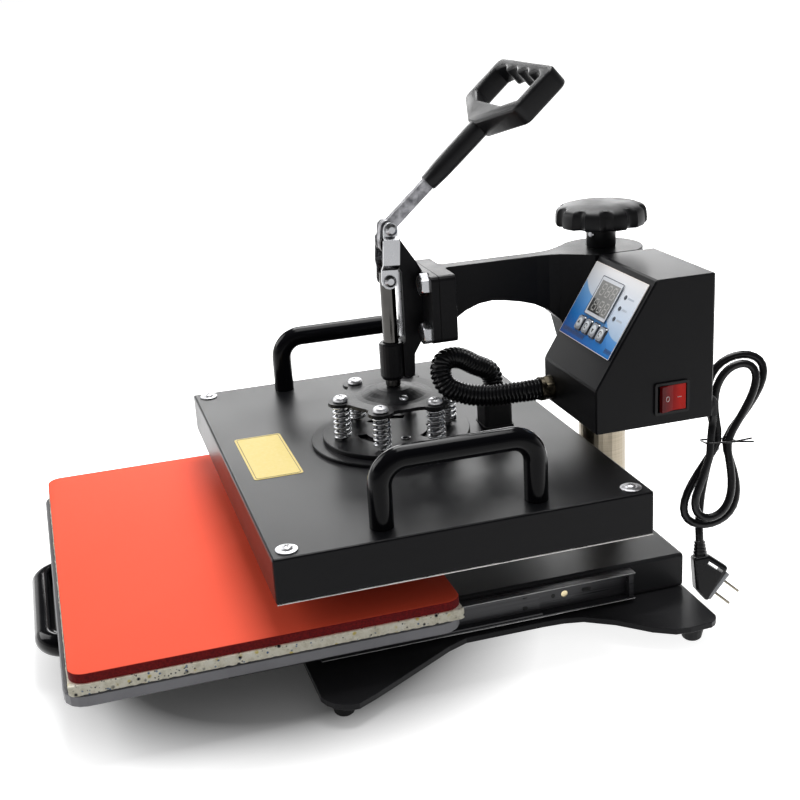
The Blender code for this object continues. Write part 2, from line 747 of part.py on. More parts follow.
def bent_path(corners, radius, steps):
    """A path through corners, with each inner corner rounded to the bend radius."""
    path = [Vector(corners[0])]
    for before, corner, after in zip(corners, corners[1:], corners[2:]):
        corner = Vector(corner)
        inward = (Vector(before) - corner).normalized()
        outward = (Vector(after) - corner).normalized()
        half_angle = inward.angle(outward) / 2.0
        bisector = (inward + outward).normalized()
        centre = corner + bisector * (radius / math.sin(half_angle))
        first = corner + inward * (radius / math.tan(half_angle)) - centre
        last = corner + outward * (radius / math.tan(half_angle)) - centre
        sweep = first.angle(last)
        for step in range(steps + 1):
            share = step / steps
            point = first * math.sin((1.0 - share) * sweep) + last * math.sin(share * sweep)
            path.append(centre + point / math.sin(sweep))
    path.append(Vector(corners[-1]))
    return path


def smooth_path(points, spacing):
    """Points at an even spacing on a smooth curve through the given ones."""
    knots = [Vector(point) for point in points]
    fine = []
    for index in range(len(knots) - 1):
        first = knots[index]
        second = knots[index + 1]
        chord = (second - first).length
        lean_in = (second - knots[max(index - 1, 0)]).normalized() * chord
        lean_out = (knots[min(index + 2, len(knots) - 1)] - first).normalized() * chord
        steps = 24
        for step in range(steps):
            t = step / steps
            fine.append(
                first * (2 * t ** 3 - 3 * t ** 2 + 1) + second * (3 * t ** 2 - 2 * t ** 3)
                + lean_in * (t ** 3 - 2 * t ** 2 + t) + lean_out * (t ** 3 - t ** 2))
    fine.append(knots[-1])
    lengths = [0.0]
    for first, second in zip(fine, fine[1:]):
        lengths.append(lengths[-1] + (second - first).length)
    count = max(2, round(lengths[-1] / spacing))
    even = []
    index = 0
    for step in range(count + 1):
        goal = lengths[-1] * step / count
        while index < len(lengths) - 2 and lengths[index + 1] < goal:
            index += 1
        stretch = lengths[index + 1] - lengths[index]
        even.append(fine[index].lerp(fine[index + 1], (goal - lengths[index]) / stretch))
    return even


def print_least_gap(name, points, radius):
    """Prints the least clear distance of a tube to itself, its next stretch left out."""
    skip = 4.0 * radius
    least = None
    along = [0.0]
    for first, second in zip(points, points[1:]):
        along.append(along[-1] + (Vector(second) - Vector(first)).length)
    for index, first in enumerate(points):
        for other in range(index + 1, len(points)):
            if along[other] - along[index] < skip:
                continue
            gap = (Vector(points[other]) - Vector(first)).length - 2.0 * radius
            if least is None or gap < least:
                least = gap
    print(f"{name}: length {along[-1]:.4f} m, least gap to itself {least:.5f} m")


def base_outline():
    """Half of the outline runs from the front edge round the tip, the waist and the rear."""
    side = [(BASE_FRONT_INNER_X, BASE_FRONT_Y)]
    side += arc((BASE_TIP_X - (BASE_TIP_Y - BASE_FRONT_Y), BASE_TIP_Y), BASE_TIP_Y - BASE_FRONT_Y,
                -78.0, -8.0, 4)
    length = BASE_WAIST_FRONT_Y - BASE_TIP_Y
    for along, out in FRONT_FLANK_SHARES:
        side.append((BASE_WAIST_X + (BASE_TIP_X - BASE_WAIST_X) * out, BASE_TIP_Y + length * along))
    length = BASE_REAR_CORNER_Y - BASE_WAIST_REAR_Y
    for along, out in REAR_FLANK_SHARES:
        side.append((BASE_WAIST_X + (BASE_REAR_X - BASE_WAIST_X) * out, BASE_WAIST_REAR_Y + length * along))
    corner = (BASE_REAR_Y - BASE_REAR_CORNER_Y) / 2.0
    side += arc((BASE_REAR_X - corner, BASE_REAR_CORNER_Y + corner), corner, 20.0, 75.0, 3)
    side.append((HOUSING_HALF_WIDTH, BASE_REAR_Y))
    tab_radius = BASE_REAR_Y - COLUMN_Y + BASE_TAB_REACH
    tab_half_deg = math.degrees(math.acos((BASE_REAR_Y - COLUMN_Y) / tab_radius))
    tab = arc((0.0, COLUMN_Y), tab_radius, 90.0 - tab_half_deg, 90.0 + tab_half_deg, 10)
    mirrored = [(-x, y) for x, y in reversed(side)]
    return side + tab + mirrored


def make_base(root):
    item = plate("base_plate", base_outline(), BASE_THICKNESS, level=BASE_TOP - BASE_THICKNESS / 2.0)
    rounded(item, BASE_EDGE, 1, 60.0)
    finish_part(item, root, "powder_coat_black")
    top = FOOT_HEIGHT - SEAT_GAP
    profile = [
        (0.0, top),
        (FOOT_TOP_RADIUS - FOOT_ROUNDING, top),
        (FOOT_TOP_RADIUS, top - FOOT_ROUNDING),
        (FOOT_BOTTOM_RADIUS, FOOT_ROUNDING),
        (FOOT_BOTTOM_RADIUS - FOOT_ROUNDING, 0.0),
        (0.0, 0.0),
    ]
    for side, x in (("left", -FOOT_X), ("right", FOOT_X)):
        for end, y in (("front", FOOT_FRONT_Y), ("rear", FOOT_REAR_Y)):
            foot = turned(f"foot_{end}_{side}", profile, (x, y, 0.0), SMALL_SEGMENTS)
            finish_part(foot, root, "rubber_black", (x, y, 0.0))


def make_housing(root):
    """A folded sheet that is open underneath and notched round the column's foot."""
    low = (-HOUSING_HALF_WIDTH, HOUSING_FRONT_Y, BASE_TOP + SEAT_GAP)
    high = (HOUSING_HALF_WIDTH, BASE_REAR_Y, HOUSING_TOP)
    item = rounded(box("drawer_housing", low, high), HOUSING_BEND)
    inside = box(
        "housing_inside",
        (low[0] + HOUSING_WALL, low[1] + HOUSING_WALL, low[2] - HOUSING_BEND - CUT_OVERRUN),
        (high[0] - HOUSING_WALL, high[1] - HOUSING_WALL, high[2] - HOUSING_WALL))
    cut(item, inside)
    notch = cylinder("housing_notch", COLUMN_FLANGE_RADIUS + COLUMN_NOTCH_GAP,
                     (0.0, COLUMN_Y, BASE_TOP - CUT_OVERRUN), (0.0, COLUMN_Y, HOUSING_TOP + CUT_OVERRUN))
    cut(item, notch)
    finish_part(item, root, "powder_coat_black")


def make_column(root):
    """The post, with its welded foot flange and the bore for the pressure screw."""
    bottom = BASE_TOP + SEAT_GAP
    flange_top = bottom + COLUMN_FLANGE_HEIGHT
    profile = [
        (0.0, COLUMN_TOP),
        (COLUMN_RADIUS - COLUMN_CHAMFER, COLUMN_TOP),
        (COLUMN_RADIUS, COLUMN_TOP - COLUMN_CHAMFER),
        (COLUMN_RADIUS, flange_top + COLUMN_CHAMFER),
        (COLUMN_RADIUS + COLUMN_CHAMFER, flange_top),
        (COLUMN_FLANGE_RADIUS - COLUMN_CHAMFER, flange_top),
        (COLUMN_FLANGE_RADIUS, flange_top - COLUMN_CHAMFER),
        (COLUMN_FLANGE_RADIUS, bottom),
        (0.0, bottom),
    ]
    place = (0.0, COLUMN_Y, 0.0)
    item = turned("column", profile, place)
    bore = cylinder("column_bore", SCREW_RADIUS + BORE_CLEARANCE,
                    (0.0, COLUMN_Y, screw_bottom() - CUT_OVERRUN), (0.0, COLUMN_Y, COLUMN_TOP + CUT_OVERRUN),
                    SMALL_SEGMENTS)
    cut(item, bore)
    finish_part(item, root, "brushed_steel", place)


def screw_bottom():
    return COLUMN_TOP - SCREW_REACH


def rail_outline(web, lip, low, high, side):
    """The C section of a rail, open on the side of its lips."""
    toward = RAIL_SHEET if lip > web else -RAIL_SHEET
    section = [
        (web, low), (lip, low), (lip, low + RAIL_SHEET), (web + toward, low + RAIL_SHEET),
        (web + toward, high - RAIL_SHEET), (lip, high - RAIL_SHEET), (lip, high), (web, high),
    ]
    return [(side * x, z) for x, z in section]


def make_rails(root, middle, drawer):
    """Each rail nests in the next one out with the same running gap."""
    step = RAIL_SHEET + SLIDE_GAP
    half_open = DRAWER_OPEN / 2.0
    middle_rear = RAIL_REAR_Y - RAIL_STOP_LENGTH - RAIL_TRAVEL_GAP - half_open
    inner_rear = FRAME_REAR_Y
    for name, side in (("left", -1.0), ("right", 1.0)):
        outline = rail_outline(RAIL_WEB_X, RAIL_LIP_X, RAIL_LOW, RAIL_HIGH, side)
        outer = plate(f"outer_rail_{name}", outline, RAIL_REAR_Y - RAIL_FRONT_Y, "XZ",
                      (RAIL_REAR_Y + RAIL_FRONT_Y) / 2.0)
        edges = sorted((side * (RAIL_WEB_X + RAIL_SHEET / 2.0), side * (RAIL_LIP_X - RAIL_SHEET / 2.0)))
        stop = box(f"rail_stop_{name}",
                   (edges[0], RAIL_REAR_Y - RAIL_STOP_LENGTH, RAIL_LOW + RAIL_SHEET / 2.0),
                   (edges[1], RAIL_REAR_Y - RAIL_SHEET, RAIL_HIGH - RAIL_SHEET / 2.0))
        join(outer, stop)
        finish_part(outer, root, "rail_black")
        outline = rail_outline(RAIL_WEB_X + step, RAIL_LIP_X - MIDDLE_RAIL_SET_BACK, RAIL_LOW + step,
                               RAIL_HIGH - step, side)
        slider = plate(f"middle_rail_{name}", outline, MIDDLE_RAIL_LENGTH, "XZ",
                       middle_rear - MIDDLE_RAIL_LENGTH / 2.0)
        finish_part(slider, middle, "rail_black", (0.0, -half_open, 0.0))
        deep = step + step
        outline = rail_outline(FRAME_WALL_X - SEAT_GAP, RAIL_WEB_X + deep, RAIL_LOW + deep, RAIL_HIGH - deep, side)
        slider = plate(f"inner_rail_{name}", outline, INNER_RAIL_LENGTH, "XZ",
                       inner_rear - INNER_RAIL_LENGTH / 2.0)
        finish_part(slider, drawer, "rail_black", (0.0, DRAWER_Y, 0.0))


def make_drawer(drawer):
    """The sheet frame, the pan that is open underneath, the felt, the rubber and the handle."""
    place = (0.0, DRAWER_Y, 0.0)
    wall = FRAME_WALL_X + FRAME_SHEET
    frame = box("drawer_frame", (-wall, FRAME_FRONT_Y, FRAME_TOP - FRAME_SIDE_DROP),
                (wall, FRAME_REAR_Y, FRAME_TOP))
    inside = box(
        "frame_inside", (-FRAME_WALL_X, FRAME_FRONT_Y + FRAME_SHEET, FRAME_TOP - FRAME_SIDE_DROP - CUT_OVERRUN),
        (FRAME_WALL_X, FRAME_REAR_Y + CUT_OVERRUN, FRAME_TOP - FRAME_SHEET))
    cut(frame, inside)
    front = box("frame_front", (-FRAME_FRONT_HALF_WIDTH, FRAME_FRONT_Y, FRAME_TOP - FRAME_FRONT_DROP),
                (FRAME_FRONT_HALF_WIDTH, FRAME_FRONT_Y + FRAME_SHEET, FRAME_TOP - FRAME_SHEET))
    join(frame, front)
    finish_part(frame, drawer, "powder_coat_black", place)

    low = (-PAD_WIDTH / 2.0 - TRAY_SIDE_OVERHANG, DRAWER_Y - PAD_LENGTH / 2.0 - TRAY_FRONT_OVERHANG)
    high = (PAD_WIDTH / 2.0 + TRAY_SIDE_OVERHANG, DRAWER_Y + PAD_LENGTH / 2.0 + TRAY_REAR_OVERHANG)
    tray = plate("lower_platen", rounded_rectangle(low, high, TRAY_CORNER), TRAY_HEIGHT,
                 level=TRAY_BOTTOM + TRAY_HEIGHT / 2.0)
    rounded(tray, TRAY_EDGE, 1, 60.0)
    hollow_low = (low[0] + TRAY_WALL, low[1] + TRAY_WALL)
    hollow_high = (high[0] - TRAY_WALL, high[1] - TRAY_WALL)
    hollow_height = TRAY_HEIGHT - TRAY_WALL + CUT_OVERRUN
    hollow = plate("tray_hollow", rounded_rectangle(hollow_low, hollow_high, TRAY_CORNER - TRAY_WALL),
                   hollow_height, level=TRAY_TOP - TRAY_WALL - hollow_height / 2.0)
    cut(tray, hollow)
    finish_part(tray, drawer, "tray_grey", place)

    low = (-PAD_WIDTH / 2.0 - FELT_OVERHANG, DRAWER_Y - PAD_LENGTH / 2.0 - FELT_OVERHANG)
    high = (PAD_WIDTH / 2.0 + FELT_OVERHANG, DRAWER_Y + PAD_LENGTH / 2.0 + FELT_OVERHANG)
    felt = plate("felt_pad", rounded_rectangle(low, high, FELT_CORNER, 3), FELT_THICKNESS,
                 level=FELT_TOP - FELT_THICKNESS / 2.0)
    finish_part(felt, drawer, "felt_cream", place)

    low = (-PAD_WIDTH / 2.0, DRAWER_Y - PAD_LENGTH / 2.0)
    high = (PAD_WIDTH / 2.0, DRAWER_Y + PAD_LENGTH / 2.0)
    pad = plate("silicone_pad", rounded_rectangle(low, high, PAD_CORNER), SILICONE_THICKNESS,
                level=PAD_TOP - SILICONE_THICKNESS / 2.0)
    rounded(pad, SILICONE_ROUNDING, 2, 60.0)
    finish_part(pad, drawer, "silicone_red", place)

    level = FRAME_TOP - DRAWER_HANDLE_DROP
    start_y = FRAME_FRONT_Y - SEAT_GAP
    corners = [
        (-DRAWER_HANDLE_HALF_SPAN, start_y, level), (-DRAWER_HANDLE_HALF_SPAN, DRAWER_HANDLE_Y, level),
        (DRAWER_HANDLE_HALF_SPAN, DRAWER_HANDLE_Y, level), (DRAWER_HANDLE_HALF_SPAN, start_y, level),
    ]
    bend = min(HANDLE_BEND, DRAWER_HANDLE_REACH - HANDLE_TUBE_RADIUS / 4.0)
    handle = tube("drawer_handle", bent_path(corners, bend, HANDLE_BEND_STEPS), HANDLE_TUBE_RADIUS,
                  HANDLE_RESOLUTION)
    finish_part(handle, drawer, "gloss_black", (0.0, FRAME_FRONT_Y, level))


def make_head(head):
    """The sheet cover, the heated platen hung inside it, and the two cover handles."""
    half_x = COVER_LENGTH / 2.0
    half_y = COVER_WIDTH / 2.0
    origin = (0.0, 0.0, COVER_TOP)
    cover = rounded(box("platen_cover", (-half_x, -half_y, COVER_BOTTOM), (half_x, half_y, COVER_TOP)),
                    COVER_BEND)
    hollow = box("cover_hollow",
                 (-half_x + COVER_WALL, -half_y + COVER_WALL, COVER_BOTTOM - COVER_BEND - CUT_OVERRUN),
                 (half_x - COVER_WALL, half_y - COVER_WALL, COVER_TOP - COVER_WALL))
    cut(cover, hollow)
    finish_part(cover, head, "powder_coat_black", origin)

    inset = COVER_WALL + PLATEN_EDGE_GAP
    platen = box("heat_platen", (-half_x + inset, -half_y + inset, PLATEN_BOTTOM),
                 (half_x - inset, half_y - inset, PLATEN_BOTTOM + PLATEN_THICKNESS))
    rounded(platen, COVER_BEND, 1)
    bake(platen)
    for index, (side, end) in enumerate(((-1, -1), (-1, 1), (1, -1), (1, 1))):
        x = side * (half_x - STANDOFF_INSET)
        y = end * (half_y - STANDOFF_INSET)
        post = cylinder(f"standoff_{index}", STANDOFF_RADIUS, (x, y, PLATEN_BOTTOM + PLATEN_THICKNESS / 2.0),
                        (x, y, COVER_TOP - COVER_WALL - SEAT_GAP), 12)
        join(platen, post)
    finish_part(platen, head, "aluminium_plate", origin)

    for name, side in (("left", -1.0), ("right", 1.0)):
        x = side * (half_x - COVER_HANDLE_INSET)
        foot = COVER_TOP + SEAT_GAP
        top = COVER_TOP + COVER_HANDLE_HEIGHT
        corners = [
            (x, -COVER_HANDLE_HALF_SPAN, foot), (x, -COVER_HANDLE_HALF_SPAN, top),
            (x, COVER_HANDLE_HALF_SPAN, top), (x, COVER_HANDLE_HALF_SPAN, foot),
        ]
        handle = tube(f"cover_handle_{name}", bent_path(corners, HANDLE_BEND, HANDLE_BEND_STEPS),
                      HANDLE_TUBE_RADIUS, HANDLE_RESOLUTION)
        finish_part(handle, head, "gloss_black", (x, 0.0, foot))


def bolt_places():
    return [(BOLT_CIRCLE * math.cos(angle), PLUNGER_Y + BOLT_CIRCLE * math.sin(angle))
            for angle in BOLT_ANGLES]


def make_mounting_disc(head):
    """Two stepped discs with curved slots, and the six bolts that hang the head."""
    bottom = COVER_TOP + SEAT_GAP
    step = bottom + LOWER_DISC_THICKNESS
    place = (0.0, PLUNGER_Y, 0.0)
    profile = [
        (0.0, DISC_TOP),
        (UPPER_DISC_RADIUS, DISC_TOP),
        (UPPER_DISC_RADIUS, step),
        (LOWER_DISC_RADIUS, step),
        (LOWER_DISC_RADIUS, bottom),
        (0.0, bottom),
    ]
    disc = turned("mounting_disc", profile, place, DISC_SEGMENTS)
    for index in range(DISC_SLOT_COUNT):
        first = 360.0 * index / DISC_SLOT_COUNT + DISC_SLOT_TURN_DEG / 2.0
        last = first + DISC_SLOT_TURN_DEG
        outer = arc((0.0, PLUNGER_Y), DISC_SLOT_RADIUS + DISC_SLOT_WIDTH / 2.0, first, last, 6)
        inner = arc((0.0, PLUNGER_Y), DISC_SLOT_RADIUS - DISC_SLOT_WIDTH / 2.0, last, first, 6)
        height = DISC_SLOT_DEPTH + CUT_OVERRUN
        slot = plate(f"disc_slot_{index}", outer + inner, height, level=DISC_TOP - DISC_SLOT_DEPTH + height / 2.0)
        cut(disc, slot)
    seat = SPIDER_TOP + SEAT_GAP
    shoulder = seat + BOLT_HEAD_HEIGHT * BOLT_CAP_SHARE
    profile = [
        (0.0, seat + BOLT_HEAD_HEIGHT),
        (BOLT_HEAD_RADIUS * BOLT_CAP_SHARE, seat + BOLT_HEAD_HEIGHT),
        (BOLT_HEAD_RADIUS, shoulder),
        (BOLT_HEAD_RADIUS, seat),
        (BOLT_RADIUS, seat),
        (BOLT_RADIUS, DISC_TOP - BOLT_SINK),
        (0.0, DISC_TOP - BOLT_SINK),
    ]
    for index, (x, y) in enumerate(bolt_places()):
        bolt = turned(f"spring_bolt_{index}", profile, (x, y, 0.0), 12)
        join(disc, bolt)
    finish_part(disc, head, "zinc", (0.0, PLUNGER_Y, bottom))


def make_springs(plunger):
    """Six open coil springs between the disc and the spider, each one wire with flat ends."""
    low = DISC_TOP + SEAT_GAP + SPRING_WIRE_RADIUS
    high = SPIDER_BOTTOM - SEAT_GAP - SPRING_WIRE_RADIUS
    count = SPRING_CURLS * SPRING_POINTS_PER_CURL
    for index, (x, y) in enumerate(bolt_places()):
        points = []
        for step in range(count + 1):
            share = step / count
            climb = min(max((share - SPRING_FLAT_SHARE) / (1.0 - 2.0 * SPRING_FLAT_SHARE), 0.0), 1.0)
            rise = low + 2.4 * SPRING_WIRE_RADIUS * min(share, SPRING_FLAT_SHARE) / SPRING_FLAT_SHARE
            fall = 2.4 * SPRING_WIRE_RADIUS * max(share - 1.0 + SPRING_FLAT_SHARE, 0.0) / SPRING_FLAT_SHARE
            height = rise + fall + climb * (high - low - 4.8 * SPRING_WIRE_RADIUS)
            angle = BOLT_ANGLES[index] + FULL_TURN * share * SPRING_CURLS
            points.append(Vector((x + SPRING_RADIUS * math.cos(angle), y + SPRING_RADIUS * math.sin(angle),
                                  height)))
        spring = tube(f"spring_{index + 1}", points, SPRING_WIRE_RADIUS, 1)
        if index == 0:
            print_least_gap("spring", points, SPRING_WIRE_RADIUS)
        finish_part(spring, plunger, "zinc", (x, y, SPIDER_BOTTOM))


def spider_outline():
    """Six lobes round the bolts, joined by shallow waists."""
    reach = math.asin(SPIDER_LOBE_RADIUS / BOLT_CIRCLE)
    points = []
    for centre in BOLT_ANGLES:
        middle = (BOLT_CIRCLE * math.cos(centre), PLUNGER_Y + BOLT_CIRCLE * math.sin(centre))
        turn = math.degrees(centre)
        points += arc(middle, SPIDER_LOBE_RADIUS, turn - 100.0, turn + 100.0, 8)
        for share in (0.30, 0.5, 0.70):
            angle = centre + FULL_TURN / BOLT_COUNT * share
            flank = abs(share - 0.5) / 0.5
            radius = SPIDER_WAIST_RADIUS + (BOLT_CIRCLE - SPIDER_WAIST_RADIUS) * flank * reach
            points.append((radius * math.cos(angle), PLUNGER_Y + radius * math.sin(angle)))
    return points


def make_plunger(plunger):
    """The spider with its dome, and the rod that drives it."""
    origin = (0.0, PLUNGER_Y, SPIDER_BOTTOM)
    spider = plate("spider_plate", spider_outline(), SPIDER_THICKNESS, level=SPIDER_BOTTOM + SPIDER_THICKNESS / 2.0)
    steps = 5
    profile = [(0.0, DOME_TOP), (DOME_CROWN_RADIUS, DOME_TOP)]
    for step in range(1, steps + 1):
        share = step / steps
        height = SPIDER_TOP + DOME_HEIGHT * (1.0 + math.cos(math.pi * share)) / 2.0
        profile.append((DOME_CROWN_RADIUS + (DOME_RADIUS - DOME_CROWN_RADIUS) * share, height))
    inside = SPIDER_TOP - SPIDER_THICKNESS / 2.0
    profile += [(DOME_RADIUS, inside), (0.0, inside)]
    join(spider, turned("spider_dome", profile, (0.0, PLUNGER_Y, 0.0), DOME_SEGMENTS))
    for index, (x, y) in enumerate(bolt_places()):
        hole = cylinder(f"bolt_hole_{index}", BOLT_RADIUS + BOLT_HOLE_GAP, (x, y, SPIDER_BOTTOM - CUT_OVERRUN),
                        (x, y, SPIDER_TOP + CUT_OVERRUN), 12)
        cut(spider, hole)
    finish_part(spider, plunger, "cast_black", origin)
    foot = DOME_TOP + SEAT_GAP
    profile = [
        (0.0, ROD_TOP),
        (PLUNGER_RADIUS - ROD_CHAMFER, ROD_TOP),
        (PLUNGER_RADIUS, ROD_TOP - ROD_CHAMFER),
        (PLUNGER_RADIUS, foot + ROD_CHAMFER),
        (PLUNGER_RADIUS - ROD_CHAMFER, foot),
        (0.0, foot),
    ]
    rod = turned("plunger_rod", profile, (0.0, PLUNGER_Y, 0.0), 24)
    finish_part(rod, plunger, "zinc", (0.0, PLUNGER_Y, foot))


def bracket_outline():
    """The web's side view: sleeve side, front edge, notch for the swinging pin, ears, back slope."""
    neck = PIN_RADIUS + EAR_NECK_GAP
    ear = arc((PIVOT_Y, PIVOT_Z), EAR_RADIUS, 360.0 - math.degrees(math.acos(neck / EAR_RADIUS)), 50.0, 12)
    back = FLANGE_FACE_Y - BRACKET_FLANGE / 2.0
    slope_top = FLANGE_TOP + PIVOT_LIFT * 0.32
    return [
        (back, FLANGE_TOP - FLANGE_CORNER),
        (back, FLANGE_BOTTOM),
        (back - SLEEVE_RADIUS * 0.55, FLANGE_BOTTOM - FLANGE_LIFT * 0.10),
        (PLUNGER_Y + SLEEVE_RADIUS * 1.75, SLEEVE_BOTTOM + SLEEVE_LENGTH * 0.66),
        (PLUNGER_Y + SLEEVE_RADIUS * 1.65, SLEEVE_BOTTOM + SLEEVE_TAPER),
        (PLUNGER_Y + SLEEVE_RADIUS * 0.80, SLEEVE_BOTTOM + SLEEVE_TAPER),
        (PLUNGER_Y + SLEEVE_RADIUS * 0.80, SLEEVE_TOP - SLEEVE_TAPER),
        (WEB_FRONT_Y, SLEEVE_TOP + SLEEVE_TAPER),
        (WEB_FRONT_Y, PIVOT_Z - EAR_SLOT_DROP * 1.12),
        (PIVOT_Y + neck, PIVOT_Z - EAR_SLOT_DROP * 0.74),
        *ear,
        (back - BRACKET_FLANGE, slope_top),
    ]


def hex_bolts(target, face, direction):
    """Joins four hex heads to a flange; the direction is the sign of Y that they stand out."""
    radius = HEX_HALF_FLATS / math.cos(math.pi / HEX_SIDES)
    for index, (side, high) in enumerate(((-1, 0), (-1, 1), (1, 0), (1, 1))):
        x = side * BRACKET_BOLT_X
        z = FLANGE_TOP - BRACKET_BOLT_INSET if high else FLANGE_BOTTOM + BRACKET_BOLT_INSET
        bolt = cylinder(f"hex_bolt_{index}", radius, (x, face - direction * HEX_SINK, z),
                        (x, face + direction * HEX_HEIGHT, z), HEX_SIDES)
        rounded(bolt, HEX_SINK * HEX_ROUND_SHARE, 1, 70.0)
        join(target, bolt)


def make_bracket(arm):
    """Sleeve, web, ears and flange in one casting, with the bolts' heads."""
    width = 2.0 * EAR_OUTER
    bracket = plate("toggle_bracket", bracket_outline(), width, "YZ")
    flange = plate(
        "bracket_flange", rounded_rectangle((-FLANGE_HALF_WIDTH, FLANGE_BOTTOM), (FLANGE_HALF_WIDTH, FLANGE_TOP),
                                            FLANGE_CORNER, 3),
        BRACKET_FLANGE, "XZ", FLANGE_FACE_Y - BRACKET_FLANGE / 2.0)
    join(bracket, flange)
    profile = [
        (0.0, SLEEVE_TOP),
        (SLEEVE_RADIUS - SLEEVE_TAPER / 2.0, SLEEVE_TOP),
        (SLEEVE_RADIUS, SLEEVE_TOP - SLEEVE_TAPER),
        (SLEEVE_RADIUS, SLEEVE_BOTTOM + 2.0 * SLEEVE_TAPER),
        (SLEEVE_RADIUS - SLEEVE_TAPER, SLEEVE_BOTTOM),
        (0.0, SLEEVE_BOTTOM),
    ]
    join(bracket, turned("guide_sleeve", profile, (0.0, PLUNGER_Y, 0.0), 24))
    hex_bolts(bracket, FLANGE_FACE_Y - BRACKET_FLANGE, -1.0)
    cut(bracket, cylinder("sleeve_bore", PLUNGER_RADIUS + SLEEVE_BORE_GAP,
                          (0.0, PLUNGER_Y, SLEEVE_BOTTOM - CUT_OVERRUN),
                          (0.0, PLUNGER_Y, SLEEVE_TOP + CUT_OVERRUN), BORE_SEGMENTS, turn=FULL_TURN / 7.0))
    gap = LEVER_PLATE_HALF + SLIDE_GAP
    cut(bracket, box("ear_slot", (-gap, PIVOT_Y - EAR_RADIUS - CUT_OVERRUN, PIVOT_Z - EAR_SLOT_DROP),
                     (gap, PLUNGER_Y + EAR_SLOT_SETBACK, PIVOT_Z + EAR_RADIUS + CUT_OVERRUN)))
    cut(bracket, cylinder("pivot_hole", PIVOT_BOLT_RADIUS + BORE_CLEARANCE,
                          (-EAR_OUTER - CUT_OVERRUN, PIVOT_Y, PIVOT_Z),
                          (EAR_OUTER + CUT_OVERRUN, PIVOT_Y, PIVOT_Z), SMALL_SEGMENTS))
    finish_part(bracket, arm, "cast_black", (0.0, FLANGE_FACE_Y, FLANGE_BOTTOM))

    strip_top = FLANGE_TOP
    strip = box("guide_strip",
                (-GUIDE_STRIP_HALF_WIDTH, WEB_FRONT_Y - SEAT_GAP - GUIDE_STRIP_THICKNESS,
                 strip_top - GUIDE_STRIP_LENGTH),
                (GUIDE_STRIP_HALF_WIDTH, WEB_FRONT_Y - SEAT_GAP, strip_top))
    finish_part(strip, arm, "zinc", (0.0, WEB_FRONT_Y, FLANGE_BOTTOM))

    pivot = cross_pin("lever_pivot_bolt", PIVOT_BOLT_RADIUS, EAR_OUTER + SEAT_GAP, PIVOT_HEAD_RADIUS,
                      PIVOT_HEAD_HEIGHT, (0.0, PIVOT_Y, PIVOT_Z))
    finish_part(pivot, arm, "zinc", (0.0, PIVOT_Y, PIVOT_Z))


def cross_pin(name, radius, half_length, head_radius, head_height, place):
    """A pin along X with a domed head at each end."""
    tip = half_length + head_height
    shoulder = half_length + head_height * (1.0 - HEAD_ROUNDING_SHARE)
    cap = head_radius * (1.0 - HEAD_ROUNDING_SHARE)
    profile = [
        (0.0, tip), (cap, tip), (head_radius, shoulder), (head_radius, half_length), (radius, half_length),
        (radius, -half_length), (head_radius, -half_length), (head_radius, -shoulder), (cap, -tip), (0.0, -tip),
    ]
    return turned(name, profile, place, SMALL_SEGMENTS, aim=(1.0, 0.0, 0.0))


def strap_profile(side):
    """The strap seen from the front: it steps out past the pivot bolt's head and in at the rod."""
    top = EAR_OUTER + SEAT_GAP
    band = top + STRAP_BAND_OFFSET
    low = top - STRAP_LOW_OFFSET
    ramp_start = -(PIN_HEAD_RADIUS + STRAP_HEAD_GAP)
    ramp_end = ramp_start - STRAP_RAMP
    low_ramp = -STRAP_BAND_END - STRAP_LOW_RAMP
    bottom = -(STRAP_LENGTH + STRAP_HALF_WIDTH)
    inner = [
        (top, STRAP_HALF_WIDTH), (top, ramp_start), (band, ramp_end), (band, -STRAP_BAND_END),
        (low, low_ramp), (low, bottom),
    ]
    outer = [(x + STRAP_THICKNESS, z) for x, z in reversed(inner)]
    return [(side * x, z) for x, z in inner + outer]


